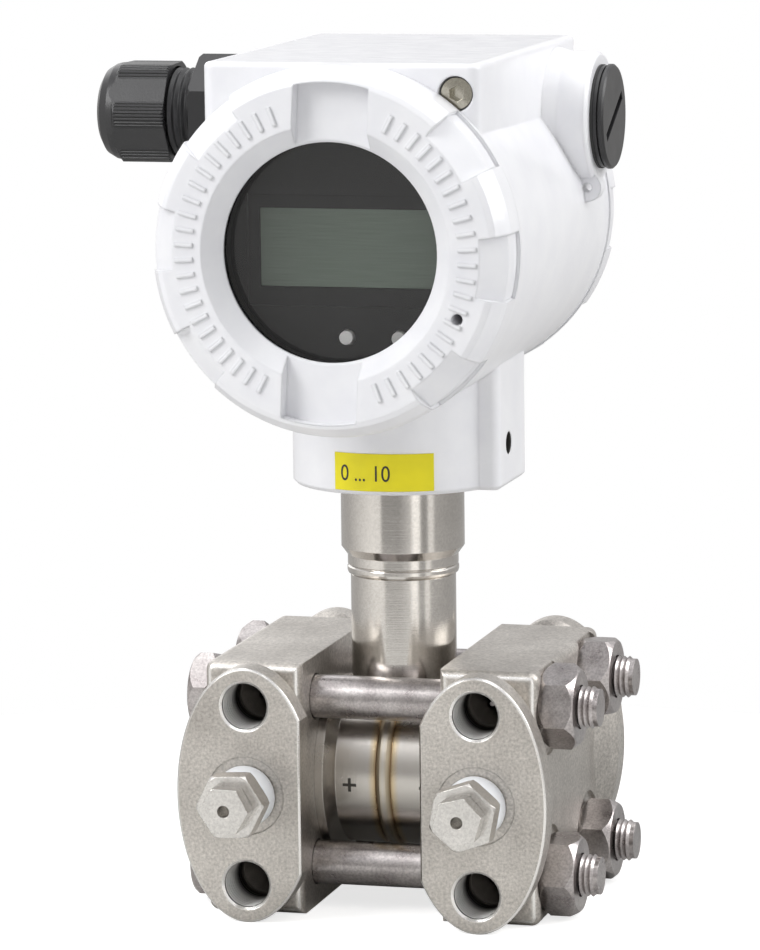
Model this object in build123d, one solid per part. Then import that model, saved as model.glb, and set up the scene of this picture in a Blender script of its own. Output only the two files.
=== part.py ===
from build123d import *
from math import cos, radians, sin, sqrt
import os

# Differential pressure transmitter with a local display.
# Millimetres. X runs from the high side to the low side, Y points to the manifold, Z is up.
# Everything is built about the neck axis and then moved back, so that the origin is the
# centre of the four bolt holes in the rear process faces.

# Process connection, to the common 54 mm pattern
PORT_PITCH = 54.0
BOLT_HOLE_PITCH = 41.3
PROCESS_DEPTH = 80.0
TAPPED_DEPTH = 14.0
TAPPED_RADIUS = 5.0
FRONT_TAPPED_RADIUS = 5.2
PORT_RADIUS = 5.6
PORT_DEPTH = 15.0
CHANNEL_RADIUS = 2.6
HOLE_CHAMFER = 0.7

# Process flanges
FLANGE_INNER_X = 16.2
FLANGE_OUTER_X = 39.2
FLANGE_BODY_DEPTH = 61.0
FLANGE_TOP = 29.0
FLANGE_BOTTOM = -29.5
PAD_HALF_WIDTH = 16.3
PAD_HALF_HEIGHT = 29.5
PAD_INNER_CUT = 13.0
PAD_RIM_DEPTH = 6.5
PAD_FLARE_DEPTH = 9.5
PAD_FLARE_SCALE = 0.72
SPOT_FACE_RADIUS = 11.2
SPOT_FACE_DEPTH = 1.0
VENT_SPOT_RADIUS = 9.0
VENT_SPOT_DEPTH = 0.5
FLANGE_EDGE_ROUND = 2.2

# Clamp bolts and nuts
BOLT_Y = 18.5
BOLT_Z = 19.5
BOLT_RADIUS = 5.0
BOLT_CLEARANCE = 0.3
HEX_ACROSS_FLATS = 17.0
HEAD_HEIGHT = 6.4
NUT_HEIGHT = 8.2
BOLT_END_X = 51.0
THREAD_PITCH = 1.25
THREAD_HEIGHT = 0.55
HEX_CORNER_RELIEF = 1.5
HEX_RELIEF_SLOPE = 1.2
HEAD_TURNS = (50, 44, 12, 20)
NUT_TURNS = (5, 20, 35, 56)

# Vent valves, measured from the front pad faces
VENT_BORE_RADIUS = 2.2
VENT_HOLE_RADIUS = 1.4
VENT_HEX_FROM = 6.8
VENT_HEX_TO = 12.3
VENT_SCREW_TO = 17.0
VENT_HEX_AF = 14.0
VENT_SCREW_AF = 10.0
VENT_BODY_TURNS = (27, 11)
VENT_SCREW_TURNS = (31, 17)
VENT_NECK_RADIUS = 6.7
VENT_NECK_TAPER = 0.3
VENT_THREAD_TIP = 12.0
TAPE_THICKNESS = 0.25

# Measuring capsule
CAPSULE_RADIUS = 18.0
DISC_RADIUS = 21.0
DISC_INNER_X = 13.6
REGISTER_RADIUS = 17.0
REGISTER_DEPTH = 2.0
CAVITY_RADIUS = 13.0
CAVITY_DEPTH = 2.0
DISH_DEPTH = 0.8
GASKET_INNER_RADIUS = 15.0
GASKET_OUTER_RADIUS = 16.4
GASKET_HEIGHT = 0.9
WELD_X = -0.6
WELD_WIDTH = 3.6
WELD_HEIGHT = 0.5
WELD_DEPTH = 0.6
OIL_BORE_RADIUS = 1.2
CHAMBER_FLOOR_Z = 8.0
CELL_RADIUS = 8.6
CELL_HEIGHT = 16.0
LEAD_TOWER_RADIUS = 6.5
LEAD_TOWER_HEIGHT = 22.0

# Clearances between pieces
CURVED_GAP = 0.3
FIT_GAP = 0.1
TURNING_GAP = 0.06

# Neck
NECK_FOOT_Z = 20.0
NECK_LOW_RADIUS = 12.2
NECK_MID_RADIUS = 12.95
NECK_TOP_RADIUS = 14.3
NECK_BEAD_Z = 46.2
NECK_SHOULDER_Z = 50.4
NECK_TOP_Z = 82.0
HEADER_THICKNESS = 3.0
HEADER_RECESS = 1.0
PIN_RADIUS = 0.5
PIN_TOP = 1.5
PIN_BOTTOM = 7.0
NECK_BORE_RADIUS = 9.0
NECK_RING_Z = 71.0
NECK_RING_WIDTH = 2.4
NECK_LOCK_Z = 77.4
NECK_LOCK_RADIUS = 13.4
PIN_CIRCLE_RADIUS = 3.2
RIBBON_HALF_WIDTH = 3.4
RIBBON_THICKNESS = 0.6
RIBBON_Y = -7.6
RIBBON_FOOT_END_Y = 2.0
PASSAGE_RADIUS = 8.5
PASSAGE_TOP_DROP = 28.0

# Housing casting
AXIS_Z = 126.6
DRUM_FRONT_Y = -49.0
DRUM_REAR_Y = 43.0
DRUM_FRONT_RADIUS = 40.6
DRUM_REAR_RADIUS = 39.4
BULKHEAD_FRONT_Y = 4.0
BULKHEAD_REAR_Y = 9.0
BLOCK_HALF_WIDTH = 31.6
BLOCK_TOP_Z = 167.4
BLOCK_ROUND = 2.5
COLLAR_RADIUS = 25.2
COLLAR_BOTTOM_Z = 67.6
COLLAR_BOSS_X = 26.4
COLLAR_BOSS_HALF_WIDTH = 13.0
COLLAR_BOSS_ROUND = 2.0
CONDUIT_Y = 24.0
CONDUIT_Z = 150.0
CONDUIT_BOSS_RADIUS = 15.0
CONDUIT_BOSS_X = 42.0
CONDUIT_ROOT_X = 10.0
CONDUIT_ROOT_RADIUS = 22.0
CONDUIT_WAIST_X = 30.0
CONDUIT_STRAIGHT_X = 35.0
CONDUIT_BORE_RADIUS = 9.4
CONDUIT_THREAD_RADIUS = 9.1
CONDUIT_INNER_X = 16.0
LUG_X = 40.0
LUG_Y = 18.0
LUG_DROP = 1.0
LUG_Z = CONDUIT_Z - CONDUIT_BOSS_RADIUS - LUG_DROP
LUG_WEB = 10.0
LUG_ROOT = 6.0
LUG_RADIUS = 3.3
LUG_THICKNESS = 4.0
LUG_HOLE_RADIUS = 1.05
PLATE_MARGIN = 2.3
PLATE_THICKNESS = 0.5
SET_SCREW_Y = -4.0
SET_SCREW_RADIUS = 2.5
SET_SCREW_RECESS = 4.0
SET_SCREW_SOCKET_AF = 2.5
SET_SCREW_SOCKET_DEPTH = 3.0
SET_SCREW_TIP_GAP = 0.4
LOCK_SCREW_X = 26.3
LOCK_SCREW_Z = 160.9
LOCK_HEAD_RADIUS = 3.5
LOCK_BORE_RADIUS = LOCK_HEAD_RADIUS + 0.4
LOCK_BORE_DEPTH = 5.0
LOCK_HEAD_SET_BACK = 1.0
LOCK_SHANK_RADIUS = 2.0
LOCK_SHANK_LENGTH = 10.0
LABEL_LIFT = 0.02
LABEL_THICKNESS = 0.15
LABEL_FROM = -21.8
LABEL_TO = 31.7
LABEL_BOTTOM_Z = 68.6
LABEL_TOP_Z = 77.2

# Covers
COVER_RADIUS = 41.0
SHOULDER_Y = -57.6
CROWN_FRONT_Y = -62.6
CROWN_RADIUS = 37.4
CROWN_STEP = 2.5
BAND_STEP = 0.8
LIP_WIDTH = 1.4
BEVEL_OUTER_RADIUS = 28.3
WINDOW_Y = -58.4
WINDOW_RADIUS = 24.3
SKIRT_RADIUS = 34.8
SKIRT_INNER_RADIUS = 31.6
SKIRT_LENGTH = 11.0
TOOL_SLOT_WIDTH = 17.0
TOOL_SLOT_RADIUS = 37.6
TOOL_SLOT_FLOOR_Y = -58.9
SEAL_HOLE_RADIUS = 1.25
SEAL_HOLE_ANGLE = -21.5
SEAL_HOLE_AT_RADIUS = 32.7
GRIP_SPAN = 21.0
GRIP_STARTS = (-53.5, -11.5, 30.5)
TICK_RADIUS = 32.2
TICK_LENGTH = 4.2
TICK_WIDTH = 0.9
TICK_HEIGHT = 0.45
TICK_PITCH = 6.0
TICK_COUNT = 23
COVER_TURN = -3.0
REAR_COVER_RADIUS = 39.8
REAR_DISH_RADIUS = 24.0
REAR_DISH_DEPTH = 1.2
REAR_SLOT_INNER = 26.0
REAR_SLOT_DEPTH = 2.6
REAR_SHOULDER_DEPTH = 4.5
REAR_CROWN_FALL = 3.6
REAR_COVER_END_Y = 54.5
REAR_COVER_FLOOR = 4.5
COVER_RING_WIDTH = 1.9

# Window and display
GLASS_RADIUS = 26.1
GLASS_THICKNESS = 5.2
WINDOW_GASKET_THICKNESS = 0.6
RETAINER_THICKNESS = 2.6
FASCIA_Y = -46.0
FASCIA_THICKNESS = 2.0
FASCIA_RADIUS = 31.0
DISPLAY_X = 2.2
DISPLAY_DROP = 0.2
DISPLAY_Z = AXIS_Z - DISPLAY_DROP
DISPLAY_WIDTH = 43.0
DISPLAY_HEIGHT = 17.6
DISPLAY_BORDER = 2.2
DISPLAY_SET_BACK = 1.2
RECESS_DEPTH = 0.7
RECESS_SIDE = 2.6
RECESS_ABOVE = 2.9
RECESS_BELOW = 4.2
BUTTON_DROP = 19.7
BUTTON_Z = DISPLAY_Z - BUTTON_DROP
BUTTON_XS = (0.8, 12.8)
BUTTON_RADIUS = 1.55
BUTTON_FLANGE_RADIUS = 2.4
BUTTON_TRAVEL = 1.0
BOARD_RADIUS = 30.0
BOARD_Y = -41.0
BOARD_THICKNESS = 1.6
MODULE_RADIUS = 33.6
MODULE_FRONT_Y = -35.0
MODULE_REAR_Y = -3.0
CONNECTOR_HALF_WIDTH = 12.0
CONNECTOR_HEIGHT = 8.0
CONNECTOR_DEPTH = 6.0
CONNECTOR_Z = AXIS_Z - 18.0
SPACER_RADIUS = 2.5
SPACER_CIRCLE_RADIUS = 25.0
SWITCH_WIDTH = 5.0
BUTTON_FLANGE_THICKNESS = 0.8
BUTTON_PROUD = 0.2

# Terminals
TERMINAL_WIDTH = 46.0
TERMINAL_DEPTH = 13.0
TERMINAL_BOTTOM_Z = 106.0
TERMINAL_TOP_Z = 130.0
TERMINAL_XS = (-16.5, -5.5, 5.5, 16.5)
TERMINAL_SCREW_Z = (TERMINAL_BOTTOM_Z + TERMINAL_TOP_Z) / 2 - 2
TERMINAL_POCKET_RADIUS = 4.4
TERMINAL_POCKET_DEPTH = 4.5
WIRE_SLOT_WIDTH = 5.2
TERMINAL_TAP_DEPTH = 11.0
TERMINAL_SHANK_RADIUS = 1.7
TERMINAL_SHANK_LENGTH = 6.0
SCREW_HEAD_RADIUS = 3.6
SCREW_HEAD_HEIGHT = 2.4
SCREW_SLOT_WIDTH = 1.0
EARTH_SHANK_RADIUS = 1.9
EARTH_SHANK_LENGTH = 3.5
EARTH_SCREW_Z = 98.5

# Cable gland and blanking plug
SEAL_WASHER_THICKNESS = 0.6
SEAL_WASHER_RADIUS = 12.0
ENTRY_THREAD_LENGTH = 11.0
GLAND_HEX_AF = 24.0
GLAND_HEX_LENGTH = 11.7
GLAND_HEX_TURN = 35
GLAND_THREAD_RADIUS = 10.4
GLAND_THREAD_LENGTH = 6.1
GLAND_THREAD_PITCH = 1.6
GLAND_CAP_LENGTH = 17.6
GLAND_CAP_RADIUS = 12.6
GLAND_CAP_AF = 22.8
GLAND_CAP_TURN = 2
GLAND_DOME_RADIUS = 11.6
GLAND_CABLE_RADIUS = 5.0
GLAND_BORE_RADIUS = 7.2
GLAND_MOUTH_LENGTH = 6.0
GLAND_DOME_LENGTH = 5.4
GLAND_DOME_FALL = 3.2
PLUG_HEAD_RADIUS = 12.1
PLUG_HEAD_THICKNESS = 2.6
PLUG_GROOVE_DEPTH = 0.5
PLUG_SLOT_TURN = 29
PLUG_SLOT_LENGTH = 18.0
PLUG_SLOT_WIDTH = 2.2
PLUG_SLOT_DEPTH = 1.4
PLUG_EDGE = 0.3

NECK_Y = -PROCESS_DEPTH / 2
FRONT_FACE_Y = -PROCESS_DEPTH / 2


def axis_plane(axis, start=0.0, u=0.0, v=0.0):
    """Plane whose normal is a world axis; u and v are the two other coordinates, in order."""
    if axis == "X":
        return Plane(origin=(start, u, v), x_dir=(0, 1, 0), z_dir=(1, 0, 0))
    if axis == "Y":
        return Plane(origin=(u, start, v), x_dir=(0, 0, 1), z_dir=(0, 1, 0))
    return Plane(origin=(u, v, start), x_dir=(1, 0, 0), z_dir=(0, 0, 1))


def rod(axis, radius, start, end, u=0.0, v=0.0):
    """Cylinder along a world axis."""
    return extrude(axis_plane(axis, start, u, v) * Circle(radius), end - start)


def tube(axis, outer, inner, start, end, u=0.0, v=0.0):
    """Hollow cylinder along a world axis."""
    return rod(axis, outer, start, end, u, v) - rod(axis, inner, start, end, u, v)


def hex_bar(axis, across_flats, start, end, u=0.0, v=0.0, turn=0.0, relief=0.6):
    """Hexagon bar along a world axis; a cone takes its corners back by relief at both ends."""
    outline = RegularPolygon(across_flats / 2, 6, major_radius=False, rotation=turn)
    bar = extrude(axis_plane(axis, start, u, v) * outline, end - start)
    corner = across_flats / sqrt(3)
    drop = relief * HEX_RELIEF_SLOPE
    length = end - start
    envelope = [(0, 0), (corner - relief, 0), (corner, drop), (corner, length - drop),
                (corner - relief, length), (0, length)]
    return bar & turned(axis, envelope, start, u, v)


def turned(axis, points, start=0.0, u=0.0, v=0.0):
    """Revolve an outline of (radius, position) points about a world axis."""
    outline = Plane.XZ * make_face(Polyline(*points, close=True))
    return axis_plane(axis, start, u, v) * revolve(outline, Axis.Z)


def box_between(x0, x1, y0, y1, z0, z1):
    """Box from its two opposite corners."""
    block = Box(x1 - x0, y1 - y0, z1 - z0, align=(Align.MIN, Align.MIN, Align.MIN))
    return Pos(x0, y0, z0) * block


def group(pieces):
    """Separate like pieces kept together as one sub-part."""
    whole = pieces[0]
    for piece in pieces[1:]:
        whole += piece
    return whole


def sector(radius, from_angle, to_angle, start, end, z=0.0):
    """Pie slice about a Y axis; angles are from +X towards +Z."""
    steps = 6
    angles = [from_angle + (to_angle - from_angle) * k / steps for k in range(steps + 1)]
    rim = [(radius * cos(radians(a)), radius * sin(radians(a))) for a in angles]
    outline = make_face(Polyline((0, 0), *rim, close=True))
    face = Plane(origin=(0, end, z), x_dir=(1, 0, 0), z_dir=(0, -1, 0)) * outline
    return extrude(face, end - start)


def threaded_rod(axis, radius, start, end, u, v, pitch=THREAD_PITCH):
    """Rod with thread grooves, drawn as one ring for each turn."""
    turns = int((end - start) / pitch)
    points = [(0, 0), (radius - THREAD_HEIGHT, 0)]
    for turn in range(turns):
        base = turn * pitch
        points.append((radius, base + pitch * 0.5))
        points.append((radius - THREAD_HEIGHT, base + pitch))
    length = end - start
    points.append((radius - THREAD_HEIGHT, length))
    points.append((0, length))
    return turned(axis, points, start, u, v)


# Process flanges and clamp

def pad_outline(scale=1.0):
    """Oval pad outline, cut flat towards the capsule; local x is Z and local y is X."""
    oval = Ellipse(PAD_HALF_HEIGHT * scale, PAD_HALF_WIDTH * scale)
    far = PAD_HALF_HEIGHT * 2
    cut = Pos(0, -PAD_INNER_CUT * scale - far / 2) * Rectangle(2 * far, far)
    return oval - cut


def process_pad(side):
    """Pad on the front (side -1) or the rear (side +1) of the low-side flange."""
    port_x = PORT_PITCH / 2
    face_y = side * PROCESS_DEPTH / 2
    rim_y = face_y - side * PAD_RIM_DEPTH
    root_y = rim_y - side * PAD_FLARE_DEPTH
    rim = extrude(axis_plane("Y", face_y, port_x, 0) * pad_outline(), -side * PAD_RIM_DEPTH)
    front_edges = rim.edges().filter_by(lambda e: abs(e.center().Y - face_y) < 0.01)
    rim = chamfer(front_edges, 0.5)
    wide = axis_plane("Y", rim_y, port_x, 0) * pad_outline()
    narrow = axis_plane("Y", root_y, port_x, 0) * pad_outline(PAD_FLARE_SCALE)
    flare = loft([wide.face(), narrow.face()], ruled=True)
    return rim + flare


def low_flange():
    """Cast flange at +X: block, two oval pads, bolt and process holes."""
    half_depth = FLANGE_BODY_DEPTH / 2
    port_x = PORT_PITCH / 2
    block = box_between(FLANGE_INNER_X, FLANGE_OUTER_X, -half_depth, half_depth,
                        FLANGE_BOTTOM, FLANGE_TOP)
    outer_edges = block.edges().filter_by(lambda e: e.center().X > FLANGE_OUTER_X - 0.1
                                          or abs(e.center().Y) > half_depth - 0.1)
    block = fillet(outer_edges, FLANGE_EDGE_ROUND)
    casting = block + process_pad(-1) + process_pad(1)
    cuts = []
    for y in (-BOLT_Y, BOLT_Y):
        for z in (-BOLT_Z, BOLT_Z):
            hole_radius = BOLT_RADIUS + BOLT_CLEARANCE
            cuts.append(rod("X", hole_radius, FLANGE_INNER_X - 1, FLANGE_OUTER_X + 1, y, z))
            spot_x = FLANGE_OUTER_X - SPOT_FACE_DEPTH
            cuts.append(rod("X", SPOT_FACE_RADIUS, spot_x, FLANGE_OUTER_X + 6, y, z))
    for side, tapped_radius in ((-1, FRONT_TAPPED_RADIUS), (1, TAPPED_RADIUS)):
        face_y = side * PROCESS_DEPTH / 2
        for z in (-BOLT_HOLE_PITCH / 2, BOLT_HOLE_PITCH / 2):
            cuts.append(blind_hole(face_y, side, tapped_radius, TAPPED_DEPTH, port_x, z))
        cuts.append(blind_hole(face_y, side, PORT_RADIUS, PORT_DEPTH, port_x, 0))
    spot = rod("Y", VENT_SPOT_RADIUS, FRONT_FACE_Y - 1, FRONT_FACE_Y + VENT_SPOT_DEPTH, port_x, 0)
    cuts.append(spot)
    channel_y = PROCESS_DEPTH / 2 - PORT_DEPTH + 1
    cuts.append(rod("Y", CHANNEL_RADIUS, -channel_y, channel_y, port_x, 0))
    cuts.append(rod("X", CHANNEL_RADIUS, FLANGE_INNER_X - 1, port_x, 0, 0))
    recess_end = FLANGE_INNER_X + REGISTER_DEPTH + FIT_GAP
    recess_radius = REGISTER_RADIUS + CURVED_GAP
    cuts.append(rod("X", recess_radius, FLANGE_INNER_X - 1, recess_end, 0, 0))
    cuts.append(rod("X", CAVITY_RADIUS, FLANGE_INNER_X - 1, recess_end + CAVITY_DEPTH, 0, 0))
    for cut in cuts:
        casting -= cut
    return casting


def blind_hole(face_y, side, radius, depth, x, z):
    """Chamfered blind hole that runs into the flange from a process face."""
    points = [(0, 0.5), (radius + HOLE_CHAMFER + 0.5, 0.5), (radius, -HOLE_CHAMFER),
              (radius, -depth), (0, -depth - radius * 0.5)]
    mirrored = [(r, side * p) for r, p in points]
    return turned("Y", mirrored, face_y, x, z)


def clamp_bolt(y, z, turn):
    """Clamp bolt with its head on the high side and its thread on the low side."""
    seat_x = FLANGE_OUTER_X - SPOT_FACE_DEPTH
    head = hex_bar("X", HEX_ACROSS_FLATS, -seat_x - HEAD_HEIGHT, -seat_x, y, z, turn,
                   HEX_CORNER_RELIEF)
    thread_start = seat_x - 2
    shank = rod("X", BOLT_RADIUS, -seat_x, thread_start, y, z)
    thread = threaded_rod("X", BOLT_RADIUS - 0.15, thread_start, BOLT_END_X, y, z)
    return head + shank + thread


def clamp_nut(y, z, turn):
    """Plain hexagon nut."""
    seat_x = FLANGE_OUTER_X - SPOT_FACE_DEPTH
    nut = hex_bar("X", HEX_ACROSS_FLATS, seat_x, seat_x + NUT_HEIGHT, y, z, turn,
                  HEX_CORNER_RELIEF)
    return nut - rod("X", BOLT_RADIUS + 0.05, seat_x - 1, BOLT_END_X, y, z)


# Measuring capsule

def capsule_body():
    """Turned capsule: two end discs, registers into the flanges, and a flat for the neck."""
    end_x = FLANGE_INNER_X + REGISTER_DEPTH
    half = [(0, 0), (CAPSULE_RADIUS, 0), (CAPSULE_RADIUS, DISC_INNER_X - 1.6),
            (DISC_RADIUS - 0.8, DISC_INNER_X), (DISC_RADIUS, DISC_INNER_X + 0.6),
            (DISC_RADIUS, FLANGE_INNER_X), (REGISTER_RADIUS, FLANGE_INNER_X),
            (REGISTER_RADIUS, end_x), (GASKET_OUTER_RADIUS, end_x),
            (GASKET_OUTER_RADIUS, end_x - GASKET_HEIGHT),
            (GASKET_INNER_RADIUS, end_x - GASKET_HEIGHT), (GASKET_INNER_RADIUS, end_x),
            (CAVITY_RADIUS, end_x), (CAVITY_RADIUS, end_x - DISH_DEPTH), (0, end_x - DISH_DEPTH)]
    side = turned("X", half)
    spigot = rod("Z", NECK_LOW_RADIUS, 0, NECK_FOOT_Z)
    groove = tube("X", CAPSULE_RADIUS + 1, CAPSULE_RADIUS - WELD_DEPTH, WELD_X - WELD_WIDTH / 2,
                  WELD_X + WELD_WIDTH / 2)
    body = side + mirror(side, about=Plane.YZ) - groove + spigot
    body -= rod("Z", NECK_BORE_RADIUS, CHAMBER_FLOOR_Z, NECK_FOOT_Z + 1)
    body -= rod("X", OIL_BORE_RADIUS, -end_x, end_x)
    return body - rod("Z", OIL_BORE_RADIUS, 0, CHAMBER_FLOOR_Z + 1)


def capsule_weld():
    """Weld bead that closes the capsule's middle joint."""
    low = CAPSULE_RADIUS - WELD_DEPTH
    half = WELD_WIDTH / 2
    crest = CAPSULE_RADIUS + WELD_HEIGHT
    outline = [(low, -half), (CAPSULE_RADIUS, -half), (crest, -half * 0.4),
               (crest, half * 0.4), (CAPSULE_RADIUS, half), (low, half)]
    bead = turned("X", outline, WELD_X)
    return bead - rod("Z", NECK_LOW_RADIUS + FIT_GAP, 0, NECK_FOOT_Z + 4)


def diaphragm(side):
    """Thin corrugated diaphragm in the dish at one end of the capsule."""
    edge_x = FLANGE_INNER_X + REGISTER_DEPTH - DISH_DEPTH
    radius = CAVITY_RADIUS - FIT_GAP
    thickness = 0.35
    ripple = 0.3
    rings = 8
    crests = []
    for ring in range(rings + 1):
        lift = ripple if ring % 2 else 0.0
        crests.append((radius * ring / rings, edge_x + thickness + lift))
    disc = turned("X", crests + [(radius, edge_x), (0, edge_x)])
    return disc if side > 0 else mirror(disc, about=Plane.YZ)


def flange_gasket(side):
    """Gasket ring in the groove of the capsule's register."""
    start = FLANGE_INNER_X + REGISTER_DEPTH - GASKET_HEIGHT
    end = FLANGE_INNER_X + REGISTER_DEPTH + FIT_GAP
    ring = tube("X", GASKET_OUTER_RADIUS, GASKET_INNER_RADIUS, start, end)
    return ring if side > 0 else mirror(ring, about=Plane.YZ)


def sensor_module():
    """Pressure cell in the chamber on top of the capsule, with its narrower lead tower."""
    foot = CHAMBER_FLOOR_Z
    cell_top = foot + CELL_HEIGHT
    tower_foot = cell_top + CELL_RADIUS - LEAD_TOWER_RADIUS
    tower_top = tower_foot + LEAD_TOWER_HEIGHT
    points = [(0, foot), (CELL_RADIUS, foot), (CELL_RADIUS, cell_top),
              (LEAD_TOWER_RADIUS, tower_foot), (LEAD_TOWER_RADIUS, tower_top), (0, tower_top)]
    return turned("Z", points)


def neck_header():
    """Sealed plug at the top of the neck, with seven contact pins."""
    disc = rod("Z", NECK_BORE_RADIUS - FIT_GAP, NECK_TOP_Z - HEADER_RECESS - HEADER_THICKNESS,
               NECK_TOP_Z - HEADER_RECESS)
    low, high = NECK_TOP_Z - PIN_BOTTOM, NECK_TOP_Z + PIN_TOP
    pins = [rod("Z", PIN_RADIUS, low, high)]
    for pin in range(6):
        angle = radians(60 * pin)
        x, y = PIN_CIRCLE_RADIUS * cos(angle), PIN_CIRCLE_RADIUS * sin(angle)
        pins.append(rod("Z", PIN_RADIUS, low, high, x, y))
    return disc + pins


def neck_tube():
    """Stepped neck from the capsule to the housing, with grooves for its ring and lock screw."""
    ring_floor = NECK_TOP_RADIUS - 1.5
    ring_end = NECK_RING_Z + NECK_RING_WIDTH
    lock_half = SET_SCREW_RADIUS + 0.8
    points = [(NECK_BORE_RADIUS, NECK_FOOT_Z), (NECK_LOW_RADIUS, NECK_FOOT_Z),
              (NECK_LOW_RADIUS, NECK_BEAD_Z - 0.5), (NECK_LOW_RADIUS - 0.3, NECK_BEAD_Z),
              (NECK_MID_RADIUS - 0.2, NECK_BEAD_Z), (NECK_MID_RADIUS, NECK_BEAD_Z + 0.6),
              (NECK_MID_RADIUS, NECK_BEAD_Z + 1.4), (NECK_MID_RADIUS - 0.4, NECK_BEAD_Z + 1.8),
              (NECK_MID_RADIUS - 0.1, NECK_BEAD_Z + 2.1), (NECK_MID_RADIUS - 0.1, NECK_SHOULDER_Z),
              (NECK_TOP_RADIUS, NECK_SHOULDER_Z + 2),
              (NECK_TOP_RADIUS, NECK_RING_Z), (ring_floor, NECK_RING_Z), (ring_floor, ring_end),
              (NECK_TOP_RADIUS, ring_end), (NECK_TOP_RADIUS, NECK_LOCK_Z - lock_half),
              (NECK_LOCK_RADIUS, NECK_LOCK_Z - lock_half + 0.6),
              (NECK_LOCK_RADIUS, NECK_LOCK_Z + lock_half - 0.6),
              (NECK_TOP_RADIUS, NECK_LOCK_Z + lock_half), (NECK_TOP_RADIUS, NECK_TOP_Z - 0.6),
              (NECK_TOP_RADIUS - 0.6, NECK_TOP_Z), (NECK_BORE_RADIUS, NECK_TOP_Z)]
    return turned("Z", points)


def neck_ring():
    """Sealing ring between the neck and the collar."""
    inner = NECK_TOP_RADIUS - 1.5 + FIT_GAP
    return tube("Z", NECK_TOP_RADIUS, inner, NECK_RING_Z + 0.2,
                NECK_RING_Z + NECK_RING_WIDTH - 0.2)


def ribbon_cable():
    """Flat cable from the header to the electronics module."""
    half = RIBBON_HALF_WIDTH
    low_z = NECK_TOP_Z + PIN_TOP + FIT_GAP
    foot_top = low_z + RIBBON_THICKNESS
    top = max(AXIS_Z - MODULE_RADIUS - FIT_GAP, foot_top)
    strip = box_between(-half, half, RIBBON_Y, RIBBON_Y + RIBBON_THICKNESS, low_z, top)
    foot = box_between(-half, half, RIBBON_Y, RIBBON_FOOT_END_Y, low_z, foot_top)
    return strip + foot


# Vent valves

def vent_body(x, turn):
    """Valve body: tapered thread, hexagon and a bore for the vent screw."""
    bore = VENT_BORE_RADIUS
    thread = PORT_RADIUS - FIT_GAP
    points = [(bore, VENT_THREAD_TIP), (thread - 0.6, VENT_THREAD_TIP),
              (thread, VENT_SPOT_DEPTH + 1.5), (thread, VENT_SPOT_DEPTH),
              (VENT_NECK_RADIUS - VENT_NECK_TAPER, VENT_SPOT_DEPTH),
              (VENT_NECK_RADIUS, -VENT_HEX_FROM), (bore, -VENT_HEX_FROM)]
    barrel = turned("Y", points, FRONT_FACE_Y, x, 0)
    hexagon = hex_bar("Y", VENT_HEX_AF, FRONT_FACE_Y - VENT_HEX_TO, FRONT_FACE_Y - VENT_HEX_FROM,
                      x, 0, turn)
    hexagon -= rod("Y", bore, FRONT_FACE_Y - VENT_HEX_TO - 1, FRONT_FACE_Y, x, 0)
    return barrel + hexagon


def thread_tape(x):
    """Sealing tape wound on the visible part of the valve's thread."""
    inner = VENT_NECK_RADIUS + FIT_GAP
    hexagon_y = FRONT_FACE_Y - VENT_HEX_FROM
    return tube("Y", inner + TAPE_THICKNESS, inner, hexagon_y + FIT_GAP, FRONT_FACE_Y, x, 0)


def vent_screw(x, turn):
    """Vent screw: small hexagon, needle and the vent hole in its face."""
    face_y = FRONT_FACE_Y - VENT_SCREW_TO
    back_y = FRONT_FACE_Y - VENT_HEX_TO - FIT_GAP
    hexagon = hex_bar("Y", VENT_SCREW_AF, face_y, back_y, x, 0, turn, 0.2)
    stem = rod("Y", VENT_BORE_RADIUS - TURNING_GAP, back_y, FRONT_FACE_Y + 6, x, 0)
    return hexagon + stem - rod("Y", VENT_HOLE_RADIUS, face_y - 1, face_y + 7, x, 0)


# Housing

def conduit_axis_cuts():
    """Bores of the two conduit entries, into the rear compartment."""
    outer = CONDUIT_BOSS_X + 1
    cuts = []
    for side in (-1, 1):
        points = [(0, CONDUIT_INNER_X), (CONDUIT_BORE_RADIUS, CONDUIT_INNER_X),
                  (CONDUIT_BORE_RADIUS, CONDUIT_BOSS_X - 1), (CONDUIT_BORE_RADIUS + 2, outer),
                  (0, outer)]
        cut = turned("X", [(r, side * x) for r, x in points], 0, CONDUIT_Y, CONDUIT_Z)
        cuts.append(cut)
    return cuts


def conduit_boss(side):
    """Round boss with a waist that runs into the drum."""
    radius = CONDUIT_BOSS_RADIUS
    points = [(0, CONDUIT_ROOT_X), (CONDUIT_ROOT_RADIUS, CONDUIT_ROOT_X),
              (radius + 1.5, CONDUIT_WAIST_X), (radius, CONDUIT_STRAIGHT_X),
              (radius, CONDUIT_BOSS_X - 0.8), (radius - 0.8, CONDUIT_BOSS_X),
              (0, CONDUIT_BOSS_X)]
    boss = turned("X", [(r, side * x) for r, x in points], 0, CONDUIT_Y, CONDUIT_Z)
    return boss & box_between(-CONDUIT_BOSS_X, CONDUIT_BOSS_X, DRUM_FRONT_Y, DRUM_REAR_Y,
                              AXIS_Z - CONDUIT_ROOT_RADIUS, BLOCK_TOP_Z - 1)


def seal_lug():
    """Ear under the low-side entry for a lead seal wire."""
    rear = LUG_Y + LUG_THICKNESS
    ear = rod("Y", LUG_RADIUS, LUG_Y, rear, LUG_X, LUG_Z)
    web = box_between(LUG_X - LUG_WEB, LUG_X, LUG_Y, rear, LUG_Z - LUG_RADIUS,
                      LUG_Z + LUG_ROOT)
    root_end = min(LUG_X + LUG_RADIUS, CONDUIT_BOSS_X)
    root = box_between(LUG_X - LUG_WEB, root_end, LUG_Y, rear, LUG_Z, LUG_Z + LUG_ROOT)
    return ear + web + root


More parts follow.
